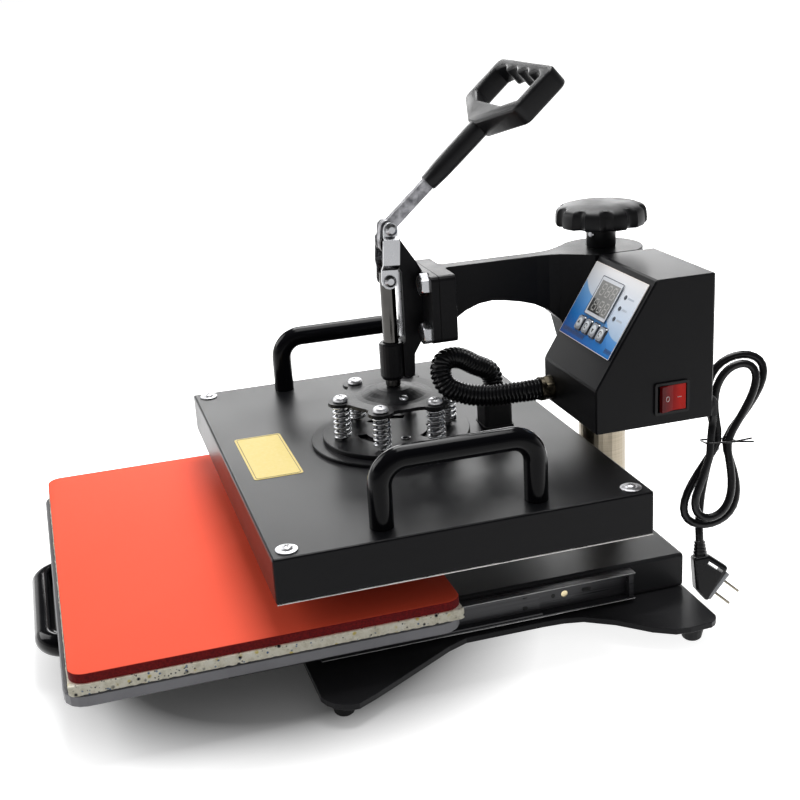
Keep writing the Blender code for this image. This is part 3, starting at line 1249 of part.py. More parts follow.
def make_links(links):
    """Two joggled straps and the pin through the lever; each strap keeps its own lower stud."""
    origin = (0.0, PIVOT_Y, TOP_PIN_Z)
    aim = Matrix.Translation(origin) @ Matrix.Rotation(-STRAP_LEAN, 4, "X")
    for name, side in (("left", -1.0), ("right", 1.0)):
        strap = plate(f"link_strap_{name}", strap_profile(side), 3.0 * STRAP_HALF_WIDTH, "XZ")
        eye_end = -(PIN_HEAD_RADIUS + STRAP_HEAD_GAP + STRAP_RAMP)
        ends = [(STRAP_HALF_WIDTH, eye_end - STRAP_SHOULDER), (STRAP_EYE_HALF_WIDTH, eye_end)]
        ends += arc((0.0, 0.0), STRAP_EYE_HALF_WIDTH, 0.0, 180.0, 6)
        ends += [(-STRAP_EYE_HALF_WIDTH, eye_end), (-STRAP_HALF_WIDTH, eye_end - STRAP_SHOULDER)]
        ends += arc((0.0, -STRAP_LENGTH), STRAP_HALF_WIDTH, 180.0, 360.0, 6)
        shape = plate(f"strap_outline_{name}", ends, 4.0 * (EAR_OUTER + STRAP_BAND_OFFSET), "YZ")
        combine(strap, shape, "INTERSECT")
        reach = EAR_OUTER + STRAP_BAND_OFFSET + 2.0 * STRAP_THICKNESS
        hole = cylinder(f"strap_hole_{name}", PIN_RADIUS + BORE_CLEARANCE, (0.0, 0.0, 0.0),
                        (side * reach, 0.0, 0.0), SMALL_SEGMENTS)
        cut(strap, hole)
        face = EAR_OUTER + SEAT_GAP - STRAP_LOW_OFFSET + STRAP_THICKNESS
        profile = [
            (0.0, PIN_HEAD_HEIGHT),
            (PIN_HEAD_RADIUS * (1.0 - HEAD_ROUNDING_SHARE), PIN_HEAD_HEIGHT),
            (PIN_HEAD_RADIUS, PIN_HEAD_HEIGHT * (1.0 - HEAD_ROUNDING_SHARE)),
            (PIN_HEAD_RADIUS, -STRAP_THICKNESS / 2.0),
            (0.0, -STRAP_THICKNESS / 2.0),
        ]
        stud = turned(f"strap_stud_{name}", profile, (side * face, 0.0, -STRAP_LENGTH), SMALL_SEGMENTS,
                      aim=(side, 0.0, 0.0))
        join(strap, stud)
        strap.data.transform(aim)
        finish_part(strap, links, "zinc", origin)
        for tool in (shape, hole, stud):
            tool.data.transform(aim)
    head_seat = EAR_OUTER + 2.0 * SEAT_GAP + STRAP_THICKNESS
    pin = cross_pin("toggle_pin", PIN_RADIUS, head_seat, PIN_HEAD_RADIUS, PIN_HEAD_HEIGHT, origin)
    finish_part(pin, links, "zinc", origin)


def lever_matrix():
    """Takes lever sizes (across, along, thick) to the machine: along runs up the lever."""
    turn = Matrix.Rotation(math.radians(LEVER_RISE_DEG), 4, "X")
    return Matrix.Translation((0.0, PIVOT_Y, TOP_PIN_Z)) @ turn


def make_lever(lever):
    """The crank plate with its bar, and the grip moulded on the bar."""
    pivot = (0.0, PIVOT_Y, PIVOT_Z)
    crank = arc((PIVOT_Y, PIVOT_Z), LEVER_PIVOT_EYE, 180.0, 360.0, 8)
    crank += arc((PIVOT_Y, TOP_PIN_Z), LEVER_PIN_EYE, 0.0, 180.0, 8)
    lever_bar = plate("lever_bar", crank, 2.0 * LEVER_PLATE_HALF, "YZ")
    outline = [
        (0.0, -LEVER_BAR_HALF_WIDTH), (LEVER_BAR_LENGTH, -LEVER_BAR_HALF_WIDTH),
        (LEVER_BAR_LENGTH, LEVER_BAR_HALF_WIDTH), (0.0, LEVER_BAR_HALF_WIDTH),
    ]
    bar = plate("lever_flat", outline, LEVER_BAR_THICKNESS, "YZ")
    bar.data.transform(lever_matrix())
    join(lever_bar, bar)
    reach = LEVER_PLATE_HALF + CUT_OVERRUN
    for name, radius, z in (("pivot", PIVOT_BOLT_RADIUS, PIVOT_Z), ("pin", PIN_RADIUS, TOP_PIN_Z)):
        cut(lever_bar, cylinder(f"lever_{name}_hole", radius + BORE_CLEARANCE, (-reach, PIVOT_Y, z),
                                (reach, PIVOT_Y, z), SMALL_SEGMENTS))
    finish_part(lever_bar, lever, "lever_steel", pivot)

    neck = [
        (-GRIP_NECK_START_HALF, GRIP_START), (GRIP_NECK_START_HALF, GRIP_START),
        (GRIP_NECK_END_HALF, GRIP_NECK_END), (GRIP_NECK_END_HALF, GRIP_SHOULDER),
        (-GRIP_NECK_END_HALF, GRIP_SHOULDER), (-GRIP_NECK_END_HALF, GRIP_NECK_END),
    ]
    grip = rounded(plate("lever_grip", neck, GRIP_NECK_THICKNESS), GRIP_NECK_ROUNDING, 2, 50.0)
    bow = plate("grip_bow", grip_outline(), GRIP_THICKNESS, holes=(grip_opening(),))
    rounded(bow, GRIP_ROUNDING, 2, 60.0)
    join(grip, bow)
    socket_x = LEVER_BAR_THICKNESS / 2.0 + SEAT_GAP
    socket_z = LEVER_BAR_HALF_WIDTH + SEAT_GAP
    cut(grip, box("grip_socket", (-socket_x, GRIP_START - CUT_OVERRUN, -socket_z),
                  (socket_x, LEVER_BAR_LENGTH + SEAT_GAP, socket_z)))
    grip.data.transform(lever_matrix())
    finish_part(grip, lever, "grip_black", pivot)


def grip_outline():
    """Neck, slanted shoulders and the wide end of the grip, symmetric about its middle."""
    corner_x = GRIP_HALF_WIDTH - GRIP_CORNER
    right = [(GRIP_NECK_END_HALF, GRIP_NECK_END)]
    right += arc((corner_x, GRIP_SHOULDER + GRIP_CORNER), GRIP_CORNER, -60.0, 0.0, 4)
    right += arc((corner_x, GRIP_END - GRIP_CORNER), GRIP_CORNER, 0.0, 90.0, 4)
    return right + [(-x, y) for x, y in reversed(right)]


def grip_opening():
    """A trapezoid whose far edge has four rounded finger grooves."""
    points = [(-GRIP_OPENING_NEAR_HALF, GRIP_OPENING_START), (GRIP_OPENING_NEAR_HALF, GRIP_OPENING_START),
              (GRIP_OPENING_HALF, GRIP_OPENING_START + GRIP_CORNER)]
    steps = 5 * GRIP_GROOVES
    for step in range(steps + 1):
        share = step / steps
        across = GRIP_OPENING_HALF * (1.0 - 2.0 * share)
        wave = abs(math.sin(math.pi * GRIP_GROOVES * share))
        points.append((across, GRIP_OPENING_END + GRIP_GROOVE_DEPTH * wave))
    points.append((-GRIP_OPENING_HALF, GRIP_OPENING_START + GRIP_CORNER))
    return points


def arm_side_outline():
    """Side view: flat top, arch under the neck, and the boss down to its bottom."""
    front = ARM_FACE_Y + ARM_FLANGE / 2.0
    neck_front = ARM_FACE_Y + ARM_FLANGE
    boss_front = COLUMN_Y - ARM_BOSS_RADIUS
    boss_rear = COLUMN_Y + ARM_BOSS_RADIUS
    crown = ARM_TOP - ARM_ARCH_DEPTH
    points = [(front, ARM_TOP)]
    first_drop = (crown - ARM_BOSS_BOTTOM) * ARCH_SHARES[0][1]
    points.append((front, crown - first_drop))
    for along, drop in ARCH_SHARES:
        points.append((neck_front + (boss_front - neck_front) * along,
                       crown - (crown - ARM_BOSS_BOTTOM) * drop))
    points += [(boss_front + ARM_NECK_FILLET, ARM_BOSS_BOTTOM), (boss_rear + CUT_OVERRUN, ARM_BOSS_BOTTOM),
               (boss_rear + CUT_OVERRUN, ARM_TOP)]
    return points


def arm_plan_outline():
    """Seen from above: a slim neck that flares into the round boss, with a flat for the box."""
    neck_front = ARM_FACE_Y + ARM_FLANGE
    join_angle = math.radians(BOSS_JOIN_DEG)
    join_x = ARM_BOSS_RADIUS * math.cos(join_angle)
    join_y = COLUMN_Y + ARM_BOSS_RADIUS * math.sin(join_angle)
    right = [(ARM_NECK_HALF + ARM_NECK_FILLET, ARM_FACE_Y + ARM_FLANGE / 2.0),
             (ARM_NECK_HALF + ARM_NECK_FILLET, neck_front)]
    right += arc((ARM_NECK_HALF + ARM_NECK_FILLET, neck_front + ARM_NECK_FILLET), ARM_NECK_FILLET,
                 -125.0, -180.0, 3)
    for along, out in FLARE_SHARES[:-1]:
        right.append((ARM_NECK_HALF + (join_x - ARM_NECK_HALF) * out / FLARE_SHARES[-1][1],
                      neck_front + (join_y - neck_front) * along))
    right += arc((0.0, COLUMN_Y), ARM_BOSS_RADIUS, BOSS_JOIN_DEG, 90.0, 14)
    return right + [(-x, y) for x, y in reversed(right[:-1])]


def make_arm(arm):
    """The cast arm: flange, arched neck and boss, bored for the column and the screw."""
    place = (0.0, COLUMN_Y, ARM_BOSS_BOTTOM)
    item = plate("swing_arm", arm_side_outline(), 4.0 * ARM_BOSS_RADIUS, "YZ")
    height = ARM_BOSS_HEIGHT + 2.0 * CUT_OVERRUN
    plan = plate("arm_plan", arm_plan_outline(), height, level=ARM_TOP + CUT_OVERRUN - height / 2.0)
    combine(item, plan, "INTERSECT")
    cut(item, box("arm_flat", (ARM_PAD_X, COLUMN_Y - ARM_BOSS_RADIUS - CUT_OVERRUN, ARM_BOSS_BOTTOM - CUT_OVERRUN),
                  (ARM_PAD_X + ARM_BOSS_RADIUS, COLUMN_Y + ARM_BOSS_RADIUS + CUT_OVERRUN, ARM_TOP + CUT_OVERRUN)))
    rounded(item, ARM_EDGE, 1, 60.0)
    bake(item)
    flange = plate(
        "arm_flange", rounded_rectangle((-FLANGE_HALF_WIDTH, FLANGE_BOTTOM), (FLANGE_HALF_WIDTH, FLANGE_TOP),
                                        FLANGE_CORNER, 3),
        ARM_FLANGE, "XZ", ARM_FACE_Y + ARM_FLANGE / 2.0)
    rounded(flange, ARM_FLANGE_EDGE, 2, 60.0)
    join(item, flange)
    bore_top = COLUMN_TOP + ARM_ROOF_GAP
    cut(item, cylinder("boss_bore", COLUMN_RADIUS + ARM_BORE_GAP, (0.0, COLUMN_Y, ARM_BOSS_BOTTOM - CUT_OVERRUN),
                       (0.0, COLUMN_Y, bore_top)))
    cut(item, cylinder("screw_bore", SCREW_RADIUS + BORE_CLEARANCE, (0.0, COLUMN_Y, bore_top - CUT_OVERRUN),
                       (0.0, COLUMN_Y, ARM_TOP + CUT_OVERRUN), SMALL_SEGMENTS))
    finish_part(item, arm, "cast_black", place)


def make_bush(height):
    """The ring on the column that the boss stands on."""
    top = ARM_BOSS_BOTTOM - SEAT_GAP
    bottom = top - BUSH_HEIGHT
    inner = COLUMN_RADIUS + BORE_CLEARANCE
    profile = [(inner, top), (inner + BUSH_WALL, top), (inner + BUSH_WALL, bottom), (inner, bottom)]
    place = (0.0, COLUMN_Y, bottom)
    ring = turned("pivot_bush", profile, (0.0, COLUMN_Y, 0.0), closed=True)
    finish_part(ring, height, "bronze", place)


def make_knob(knob):
    """A scalloped knob: a turned form whose rim is drawn in between the lobes."""
    rim_low = KNOB_BOTTOM + KNOB_HUB_HEIGHT
    rim_high = rim_low + KNOB_RIM_HEIGHT
    edge = KNOB_RIM_HEIGHT * 0.16
    profile = [
        (0.0, rim_high + KNOB_CROWN),
        (KNOB_RADIUS * 0.45, rim_high + KNOB_CROWN * 0.86),
        (KNOB_RADIUS * 0.76, rim_high + KNOB_CROWN * 0.50),
        (KNOB_RADIUS * 0.93, rim_high),
        (KNOB_RADIUS, rim_high - 2.0 * edge),
        (KNOB_RADIUS, rim_low + 2.0 * edge),
        (KNOB_RADIUS * 0.93, rim_low),
        (KNOB_HUB_RADIUS * 1.2, rim_low),
        (KNOB_HUB_RADIUS, rim_low - edge),
        (KNOB_HUB_RADIUS, KNOB_BOTTOM),
        (0.0, KNOB_BOTTOM),
    ]
    place = (0.0, COLUMN_Y, KNOB_BOTTOM)
    item = turned("pressure_knob", profile, (0.0, 0.0, 0.0), KNOB_SEGMENTS)
    for vertex in item.data.vertices:
        radius = math.hypot(vertex.co.x, vertex.co.y)
        grip = max(0.0, (radius - KNOB_RADIUS * 0.6) / (KNOB_RADIUS * 0.4))
        angle = math.atan2(vertex.co.y, vertex.co.x)
        valley = 1.0 - math.sqrt(abs(math.sin(KNOB_LOBES * angle / 2.0)))
        share = 1.0 - KNOB_LOBE_DEPTH * valley * min(grip, 1.0) / KNOB_RADIUS
        vertex.co.x *= share
        vertex.co.y *= share
    item.data.transform(Matrix.Translation((0.0, COLUMN_Y, 0.0)))
    socket = cylinder("knob_socket", SCREW_RADIUS + SEAT_GAP, (0.0, COLUMN_Y, KNOB_BOTTOM - CUT_OVERRUN),
                      (0.0, COLUMN_Y, KNOB_BOTTOM + KNOB_SOCKET_DEPTH), SMALL_SEGMENTS)
    cut(item, socket)
    finish_part(item, knob, "grip_black", place)
    screw = cylinder("pressure_screw", SCREW_RADIUS, (0.0, COLUMN_Y, screw_bottom()),
                     (0.0, COLUMN_Y, KNOB_BOTTOM + KNOB_SOCKET_DEPTH - SEAT_GAP), SMALL_SEGMENTS)
    rounded(screw, ROD_CHAMFER, 1, 60.0)
    finish_part(screw, knob, "zinc", place)


def slant_matrix():
    """Takes panel sizes (right, up the slant, out of it) to the machine."""
    turn = Matrix.Rotation(math.atan2(CASE_SLANT_HEIGHT, CASE_SLANT_DEPTH), 4, "X")
    return Matrix.Translation((CASE_LEFT_X, CASE_FRONT_Y, CASE_BREAK_Z)) @ turn


def button_centre(index):
    return BUTTON_FIRST + BUTTON_PITCH * index


def make_case(arm, button_frames):
    """The control box, its slanted panel with the display window, and the four buttons."""
    slant = slant_matrix()
    outline = [
        (CASE_FRONT_Y, CASE_BOTTOM), (CASE_FRONT_Y, CASE_BREAK_Z), (CASE_FRONT_Y + CASE_SLANT_DEPTH, CASE_TOP),
        (CASE_REAR_Y, CASE_TOP), (CASE_REAR_Y, CASE_BOTTOM),
    ]
    case = plate("control_case", outline, CASE_WIDTH, "YZ", (CASE_LEFT_X + CASE_RIGHT_X) / 2.0)
    rounded(case, CASE_EDGE, 1, 20.0)
    bake(case)
    cut(case, plate("case_hollow", inset(outline, CASE_WALL), CASE_WIDTH - 2.0 * CASE_WALL, "YZ",
                    (CASE_LEFT_X + CASE_RIGHT_X) / 2.0))
    wire_z = CASE_TOP - CASE_WIRE_HOLE_DROP
    cut(case, cylinder("case_wire_hole", CASE_WIRE_HOLE_RADIUS, (CASE_LEFT_X - CUT_OVERRUN, COLUMN_Y, wire_z),
                       (CASE_LEFT_X + CASE_WALL + CUT_OVERRUN, COLUMN_Y, wire_z), SMALL_SEGMENTS))
    for index in range(BUTTON_COUNT):
        x = button_centre(index)
        pocket = box(
            f"button_pocket_{index}",
            (x - BUTTON_HALF_WIDTH - BUTTON_GAP, BUTTON_SLANT - BUTTON_HALF_HEIGHT - BUTTON_GAP,
             -BUTTON_DEPTH - BUTTON_TRAVEL - BUTTON_GAP),
            (x + BUTTON_HALF_WIDTH + BUTTON_GAP, BUTTON_SLANT + BUTTON_HALF_HEIGHT + BUTTON_GAP, CUT_OVERRUN))
        pocket.data.transform(slant)
        cut(case, pocket)
    switch_y = CASE_FRONT_Y + SWITCH_BACK
    switch_z = CASE_BOTTOM + SWITCH_RISE
    open_y = BEZEL_HALF_Y - BEZEL_FRAME_Y
    open_z = BEZEL_HALF_Z - BEZEL_FRAME_Z
    cut(case, box("switch_pocket", (CASE_RIGHT_X - SWITCH_POCKET_DEPTH, switch_y - open_y, switch_z - open_z),
                  (CASE_RIGHT_X + CUT_OVERRUN, switch_y + open_y, switch_z + open_z)))
    finish_part(case, arm, "powder_coat_black", (CASE_LEFT_X, CASE_FRONT_Y, CASE_BOTTOM))

    low = (PANEL_MARGIN_LEFT, PANEL_LOW)
    high = (CASE_WIDTH - PANEL_MARGIN_RIGHT, PANEL_HIGH)
    holes = []
    for index in range(BUTTON_COUNT):
        x = button_centre(index)
        holes.append([
            (x - BUTTON_HALF_WIDTH - BUTTON_GAP, BUTTON_SLANT - BUTTON_HALF_HEIGHT - BUTTON_GAP),
            (x + BUTTON_HALF_WIDTH + BUTTON_GAP, BUTTON_SLANT - BUTTON_HALF_HEIGHT - BUTTON_GAP),
            (x + BUTTON_HALF_WIDTH + BUTTON_GAP, BUTTON_SLANT + BUTTON_HALF_HEIGHT + BUTTON_GAP),
            (x - BUTTON_HALF_WIDTH - BUTTON_GAP, BUTTON_SLANT + BUTTON_HALF_HEIGHT + BUTTON_GAP)])
    level = SEAT_GAP + PANEL_THICKNESS / 2.0
    panel = plate("control_panel", rounded_rectangle(low, high, PANEL_CORNER, 2), PANEL_THICKNESS, level=level,
                  holes=holes)
    face = SEAT_GAP + PANEL_THICKNESS
    display_high = (DISPLAY_LEFT + DISPLAY_WIDTH, DISPLAY_LOW + DISPLAY_HEIGHT)
    join(panel, box("display_frame", (DISPLAY_LEFT, DISPLAY_LOW, face - PANEL_THICKNESS / 2.0),
                    (*display_high, face + DISPLAY_RISE)))
    cut(panel, box("display_window",
                   (DISPLAY_LEFT + DISPLAY_FRAME, DISPLAY_LOW + DISPLAY_FRAME, face + DISPLAY_RISE - DISPLAY_DEPTH),
                   (display_high[0] - DISPLAY_FRAME, display_high[1] - DISPLAY_FRAME,
                    face + DISPLAY_RISE + CUT_OVERRUN)))
    panel.data.transform(slant)
    finish_part(panel, arm, "panel_blue", (CASE_LEFT_X, CASE_FRONT_Y, CASE_BREAK_Z))

    for index, frame in enumerate(button_frames):
        x = button_centre(index)
        key = box(f"panel_button_{index + 1}", (x - BUTTON_HALF_WIDTH, BUTTON_SLANT - BUTTON_HALF_HEIGHT, -BUTTON_DEPTH),
                  (x + BUTTON_HALF_WIDTH, BUTTON_SLANT + BUTTON_HALF_HEIGHT, face + BUTTON_RISE))
        rounded(key, BUTTON_ROUNDING, 1)
        bake(key)
        key.data.transform(slant)
        finish_part(key, frame, "button_silver", tuple(frame["machine_place"]))


def make_switch(arm, rocker_frame):
    """The rocker's frame on the box's side, and the rocker on its upright axle line."""
    y = CASE_FRONT_Y + SWITCH_BACK
    z = CASE_BOTTOM + SWITCH_RISE
    face = CASE_RIGHT_X + SEAT_GAP
    outer = rounded_rectangle((y - BEZEL_HALF_Y, z - BEZEL_HALF_Z), (y + BEZEL_HALF_Y, z + BEZEL_HALF_Z),
                              BEZEL_THICKNESS, 2)
    open_y = BEZEL_HALF_Y - BEZEL_FRAME_Y
    open_z = BEZEL_HALF_Z - BEZEL_FRAME_Z
    inner = [(y - open_y, z - open_z), (y + open_y, z - open_z), (y + open_y, z + open_z), (y - open_y, z + open_z)]
    bezel = plate("switch_bezel", outer, BEZEL_THICKNESS, "YZ", face + BEZEL_THICKNESS / 2.0, holes=(inner,))
    finish_part(bezel, arm, "gloss_black", (face, y, z))

    outline = [
        (-ROCKER_DEPTH, -ROCKER_BACK_HALF_Y), (0.0, -ROCKER_HALF_Y), (ROCKER_RISE, -ROCKER_HALF_Y),
        (ROCKER_VALLEY, 0.0), (ROCKER_RISE, ROCKER_HALF_Y), (0.0, ROCKER_HALF_Y),
        (-ROCKER_DEPTH, ROCKER_BACK_HALF_Y),
    ]
    rocker = plate("rocker", outline, 2.0 * (open_z - SLIDE_GAP))
    rocker.data.transform(Matrix.Translation((ROCKER_AXIS_DEPTH, 0.0, 0.0)))
    rocker.data.transform(Matrix.Rotation(math.radians(ROCKER_TILT_DEG), 4, "Z"))
    place = tuple(rocker_frame["machine_place"])
    rocker.data.transform(Matrix.Translation(place))
    finish_part(rocker, rocker_frame, "rocker_red", place)


def hose_points():
    """Out of the gland, forward, up and over itself, and down into the tower."""
    gland = gland_place()
    start_y = gland.y - GLAND_FLOOR - HOSE_FIT_GAP
    start_point = Vector((gland.x, start_y, gland.z))
    tower = Vector((TOWER_X, TOWER_SETBACK + PLUNGER_Y, 0.0))
    end_z = COVER_TOP + TOWER_HEIGHT - HOSE_SINK
    route = [start_point]
    for across, along, rise in HOSE_LEAD_SHARES + HOSE_ROUTE_SHARES:
        route.append(start_point + HOSE_SIZE * Vector((across, along, rise)))
    for across, along, rise in HOSE_DROP_SHARES:
        route.append(Vector((tower.x, tower.y, end_z)) + HOSE_SIZE * Vector((across, along, rise)))
    route.append(Vector((tower.x, tower.y, end_z)))
    return route


def gland_place():
    return Vector((CASE_LEFT_X + GLAND_RIGHT, CASE_FRONT_Y - SEAT_GAP, CASE_BOTTOM + GLAND_RISE))


def make_hose(arm, head):
    """The gland, the corrugated hose with its bore, and the tower that it enters."""
    place = gland_place()
    mouth = GLAND_LENGTH
    bore = HOSE_RADIUS + HOSE_FIT_GAP
    profile = [
        (0.0, mouth), (GLAND_RADIUS, mouth), (GLAND_RADIUS, GLAND_COLLAR_LENGTH),
        (GLAND_COLLAR_RADIUS, GLAND_COLLAR_LENGTH), (GLAND_COLLAR_RADIUS, 0.0), (0.0, 0.0),
    ]
    gland = turned("hose_gland", profile, place, 24, aim=(0.0, -1.0, 0.0))
    cut(gland, cylinder("gland_bore", bore, (place.x, place.y - GLAND_FLOOR, place.z),
                        (place.x, place.y - mouth - CUT_OVERRUN, place.z), 24))
    finish_part(gland, arm, "gland_metal", place)

    route = hose_points()
    points = smooth_path(route, HOSE_RIB_PITCH / 2.0)
    low_share = HOSE_ROOT_RADIUS / HOSE_RADIUS
    shares = [low_share if index % 2 == 0 else 1.0 for index in range(len(points))]
    hose = tube("wiring_hose", points, HOSE_RADIUS, HOSE_RESOLUTION, shares)
    print_least_gap("wiring_hose", points, HOSE_RADIUS)
    inner = smooth_path(route, 2.0 * HOSE_RIB_PITCH)
    first = (inner[0] - inner[1]).normalized() * CUT_OVERRUN
    last = (inner[-1] - inner[-2]).normalized() * CUT_OVERRUN
    inner = [inner[0] + first, *inner, inner[-1] + last]
    cut(hose, tube("hose_bore", inner, HOSE_BORE_RADIUS, HOSE_RESOLUTION))
    finish_part(hose, arm, "rubber_black", place)

    low = COVER_TOP + SEAT_GAP
    high = COVER_TOP + TOWER_HEIGHT
    x = TOWER_X
    y = TOWER_SETBACK + PLUNGER_Y
    tower = plate("tower_block", rounded_rectangle((x - TOWER_HALF, y - TOWER_HALF), (x + TOWER_HALF, y + TOWER_HALF),
                                                  TOWER_CORNER, 3),
                  high - low, level=(low + high) / 2.0)
    foot = plate("hose_tower", rounded_rectangle((x - TOWER_FOOT_HALF, y - TOWER_FOOT_HALF),
                                                 (x + TOWER_FOOT_HALF, y + TOWER_FOOT_HALF), TOWER_CORNER, 3),
                 TOWER_FOOT_HEIGHT, level=low + TOWER_FOOT_HEIGHT / 2.0)
    join(foot, tower)
    cut(foot, cylinder("tower_bore", bore, (x, y, low + TOWER_FLOOR), (x, y, high + CUT_OVERRUN), 24))
    finish_part(foot, head, "rubber_black", (x, y, low))


def hank_matrix():
    """Takes hank sizes (across, toward the viewer's far side, up) to the machine."""
    place = Vector((CASE_LEFT_X + HANK_RIGHT, CASE_REAR_Y + HANK_BACK, CASE_BOTTOM - HANK_DROP))
    turn = Matrix.Rotation(math.radians(HANK_TURN_DEG), 4, "Z")
    lean = Matrix.Rotation(-math.radians(HANK_LEAN_DEG), 4, "X")
    return Matrix.Translation(place) @ turn @ lean


def hank_point(angle):
    """A point of the hank; it is drawn in at the waist, and each turn lies behind the last."""
    turn = angle / FULL_TURN
    grow = min(max((turn - 0.72) / 0.5, 0.0), 1.0)
    grow = grow * grow * (3.0 - 2.0 * grow)
    width = HANK_WIDTH * (HANK_INNER_WIDTH_SHARE + (1.0 - HANK_INNER_WIDTH_SHARE) * grow)
    height = HANK_HEIGHT * (HANK_INNER_HEIGHT_SHARE + (1.0 - HANK_INNER_HEIGHT_SHARE) * grow)
    up = -height * math.sin(angle)
    waist = HANK_WAIST / width
    across = -width * math.cos(angle) * math.hypot(waist, math.sin(angle))
    across += up * (HANK_UPPER_LEAN_SHARE if up > 0.0 else HANK_LOWER_LEAN_SHARE)
    depth = HANK_PITCH * (turn - HANK_TURNS / 2.0)
    return Vector((across, depth, up))


def boot_end():
    return Vector((CASE_LEFT_X + BOOT_RIGHT, CASE_REAR_Y + BOOT_BACK, CASE_BOTTOM + BOOT_RISE - BOOT_DROP))


def cord_route():
    """The lead from the boot and the hank's turns, then the tail down to the plug."""
    frame = hank_matrix()
    count = HANK_TURNS * HANK_POINTS_PER_TURN
    turns = [frame @ hank_point(FULL_TURN * step / HANK_POINTS_PER_TURN)
             for step in range(LEAD_JOIN_STEP, count + 1)]
    begin = boot_end() - Vector((0.0, 0.0, SEAT_GAP))
    knots = [begin - Vector((0.0, 0.0, 2.0 * CORD_RADIUS))]
    for across, depth, up in LEAD_ROUTE_SHARES:
        knots.append(frame @ Vector((across * LEAD_SIZE, depth * LEAD_SIZE, up * LEAD_SIZE)))
    lead = smooth_path([*knots, turns[0]], 3.0 * CORD_RADIUS)
    hank = [begin, *lead[:-1], *turns]
    aim = (turns[-1] - turns[-2]).normalized()
    top = plug_boot_top()
    tail = [turns[-1] + aim * (SEAT_GAP + 2.0 * CORD_RADIUS)]
    for across, up in TAIL_ROUTE_SHARES:
        depth = HANK_PITCH * HANK_TURNS / 2.0 + TAIL_SET_BACK
        tail.append(frame @ Vector((across * TAIL_SIZE, depth, up * TAIL_SIZE)))
    tail.append(top + plug_boot_aim() * (2.0 * CORD_RADIUS + SEAT_GAP))
    tail = smooth_path(tail, 2.5 * CORD_RADIUS)
    return hank, [turns[-1] + aim * SEAT_GAP, *tail, top + plug_boot_aim() * SEAT_GAP]


def plug_matrix():
    """Takes plug sizes (across, depth, up), from the middle of its face, to the machine."""
    depth = HANK_PITCH * HANK_TURNS / 2.0
    return hank_matrix() @ Matrix.Translation((PLUG_RIGHT, depth, -PLUG_DROP))


def plug_boot_aim():
    return (plug_matrix().to_3x3() @ Vector((0.0, 0.0, 1.0))).normalized()


def plug_boot_top():
    seat = Vector((PLUG_BOOT_X_SHARE * PLUG_SIZE, 0.0, PLUG_BOOT_Z_SHARE * PLUG_SIZE + PLUG_BOOT_LENGTH))
    return plug_matrix() @ seat


def make_cord(arm):
    """Boot on the box, hank with its lead, tie, tail and plug."""
    x = CASE_LEFT_X + BOOT_RIGHT
    face = CASE_REAR_Y + SEAT_GAP
    z = CASE_BOTTOM + BOOT_RISE
    place = (x, face, z)
    boot_axis = CASE_REAR_Y + BOOT_BACK
    path = [Vector((x, face + BOOT_FLANGE_THICKNESS / 2.0, z + BOOT_RADIUS / 2.0))]
    for step in range(1, BOOT_STEPS):
        turn = math.pi / 2.0 * step / (BOOT_STEPS - 1)
        path.append(Vector((x, path[0].y + (boot_axis - path[0].y) * math.sin(turn),
                            path[0].z - BOOT_BACK * (1.0 - math.cos(turn)))))
    path.append(boot_end())
    shares = [1.0 + (BOOT_END_RADIUS / BOOT_RADIUS - 1.0) * step / BOOT_STEPS for step in range(BOOT_STEPS + 1)]
    boot = tube("boot_elbow", path, BOOT_RADIUS, 2, shares)
    flange = cylinder("cord_gland", BOOT_FLANGE_RADIUS, (x, face, z), (x, face + BOOT_FLANGE_THICKNESS, z), 20)
    join(flange, boot)
    trim = box("boot_trim", (x - BOOT_FLANGE_RADIUS - CUT_OVERRUN, face - BOOT_FLANGE_RADIUS, z - 2.0 * BOOT_FLANGE_RADIUS),
               (x + BOOT_FLANGE_RADIUS + CUT_OVERRUN, face, z + 2.0 * BOOT_FLANGE_RADIUS))
    cut(flange, trim)
    finish_part(flange, arm, "rubber_black", place)

    hank, tail = cord_route()
    print_least_gap("cord_hank", hank, CORD_RADIUS)
    centre = hank_matrix().translation
    finish_part(tube("cord_hank", hank, CORD_RADIUS, CORD_RESOLUTION), arm, "rubber_black", centre)
    finish_part(tube("cord_tail", tail, CORD_RADIUS, CORD_RESOLUTION), arm, "rubber_black", centre)

    frame = hank_matrix()
    room = CORD_RADIUS + TIE_GAP + TIE_WIRE_RADIUS
    lead_across = min(share[0] for share in LEAD_ROUTE_SHARES[:2]) * LEAD_SIZE
    half_depth = HANK_PITCH * HANK_TURNS / 2.0 + room
    low = (lead_across - room, -half_depth)
    high = (HANK_WAIST + room, half_depth)
    ring = rounded_rectangle(low, high, CORD_RADIUS, 3)
    ring_points = [frame @ Vector((across, depth, 0.0)) for across, depth in ring]
    tie = tube("cord_tie", ring_points, TIE_WIRE_RADIUS, TIE_RESOLUTION, closed=True)
    corner = Vector((high[0] - CORD_RADIUS / 2.0, low[1] + CORD_RADIUS / 4.0, 0.0))
    stub = [frame @ corner, frame @ (corner + Vector((TIE_STUB, -TIE_WIRE_RADIUS, -TIE_WIRE_RADIUS)))]
    join(tie, tube("tie_stub", stub, TIE_WIRE_RADIUS * 1.2, TIE_RESOLUTION))
    finish_part(tie, arm, "rubber_black", centre)
    make_plug(arm)


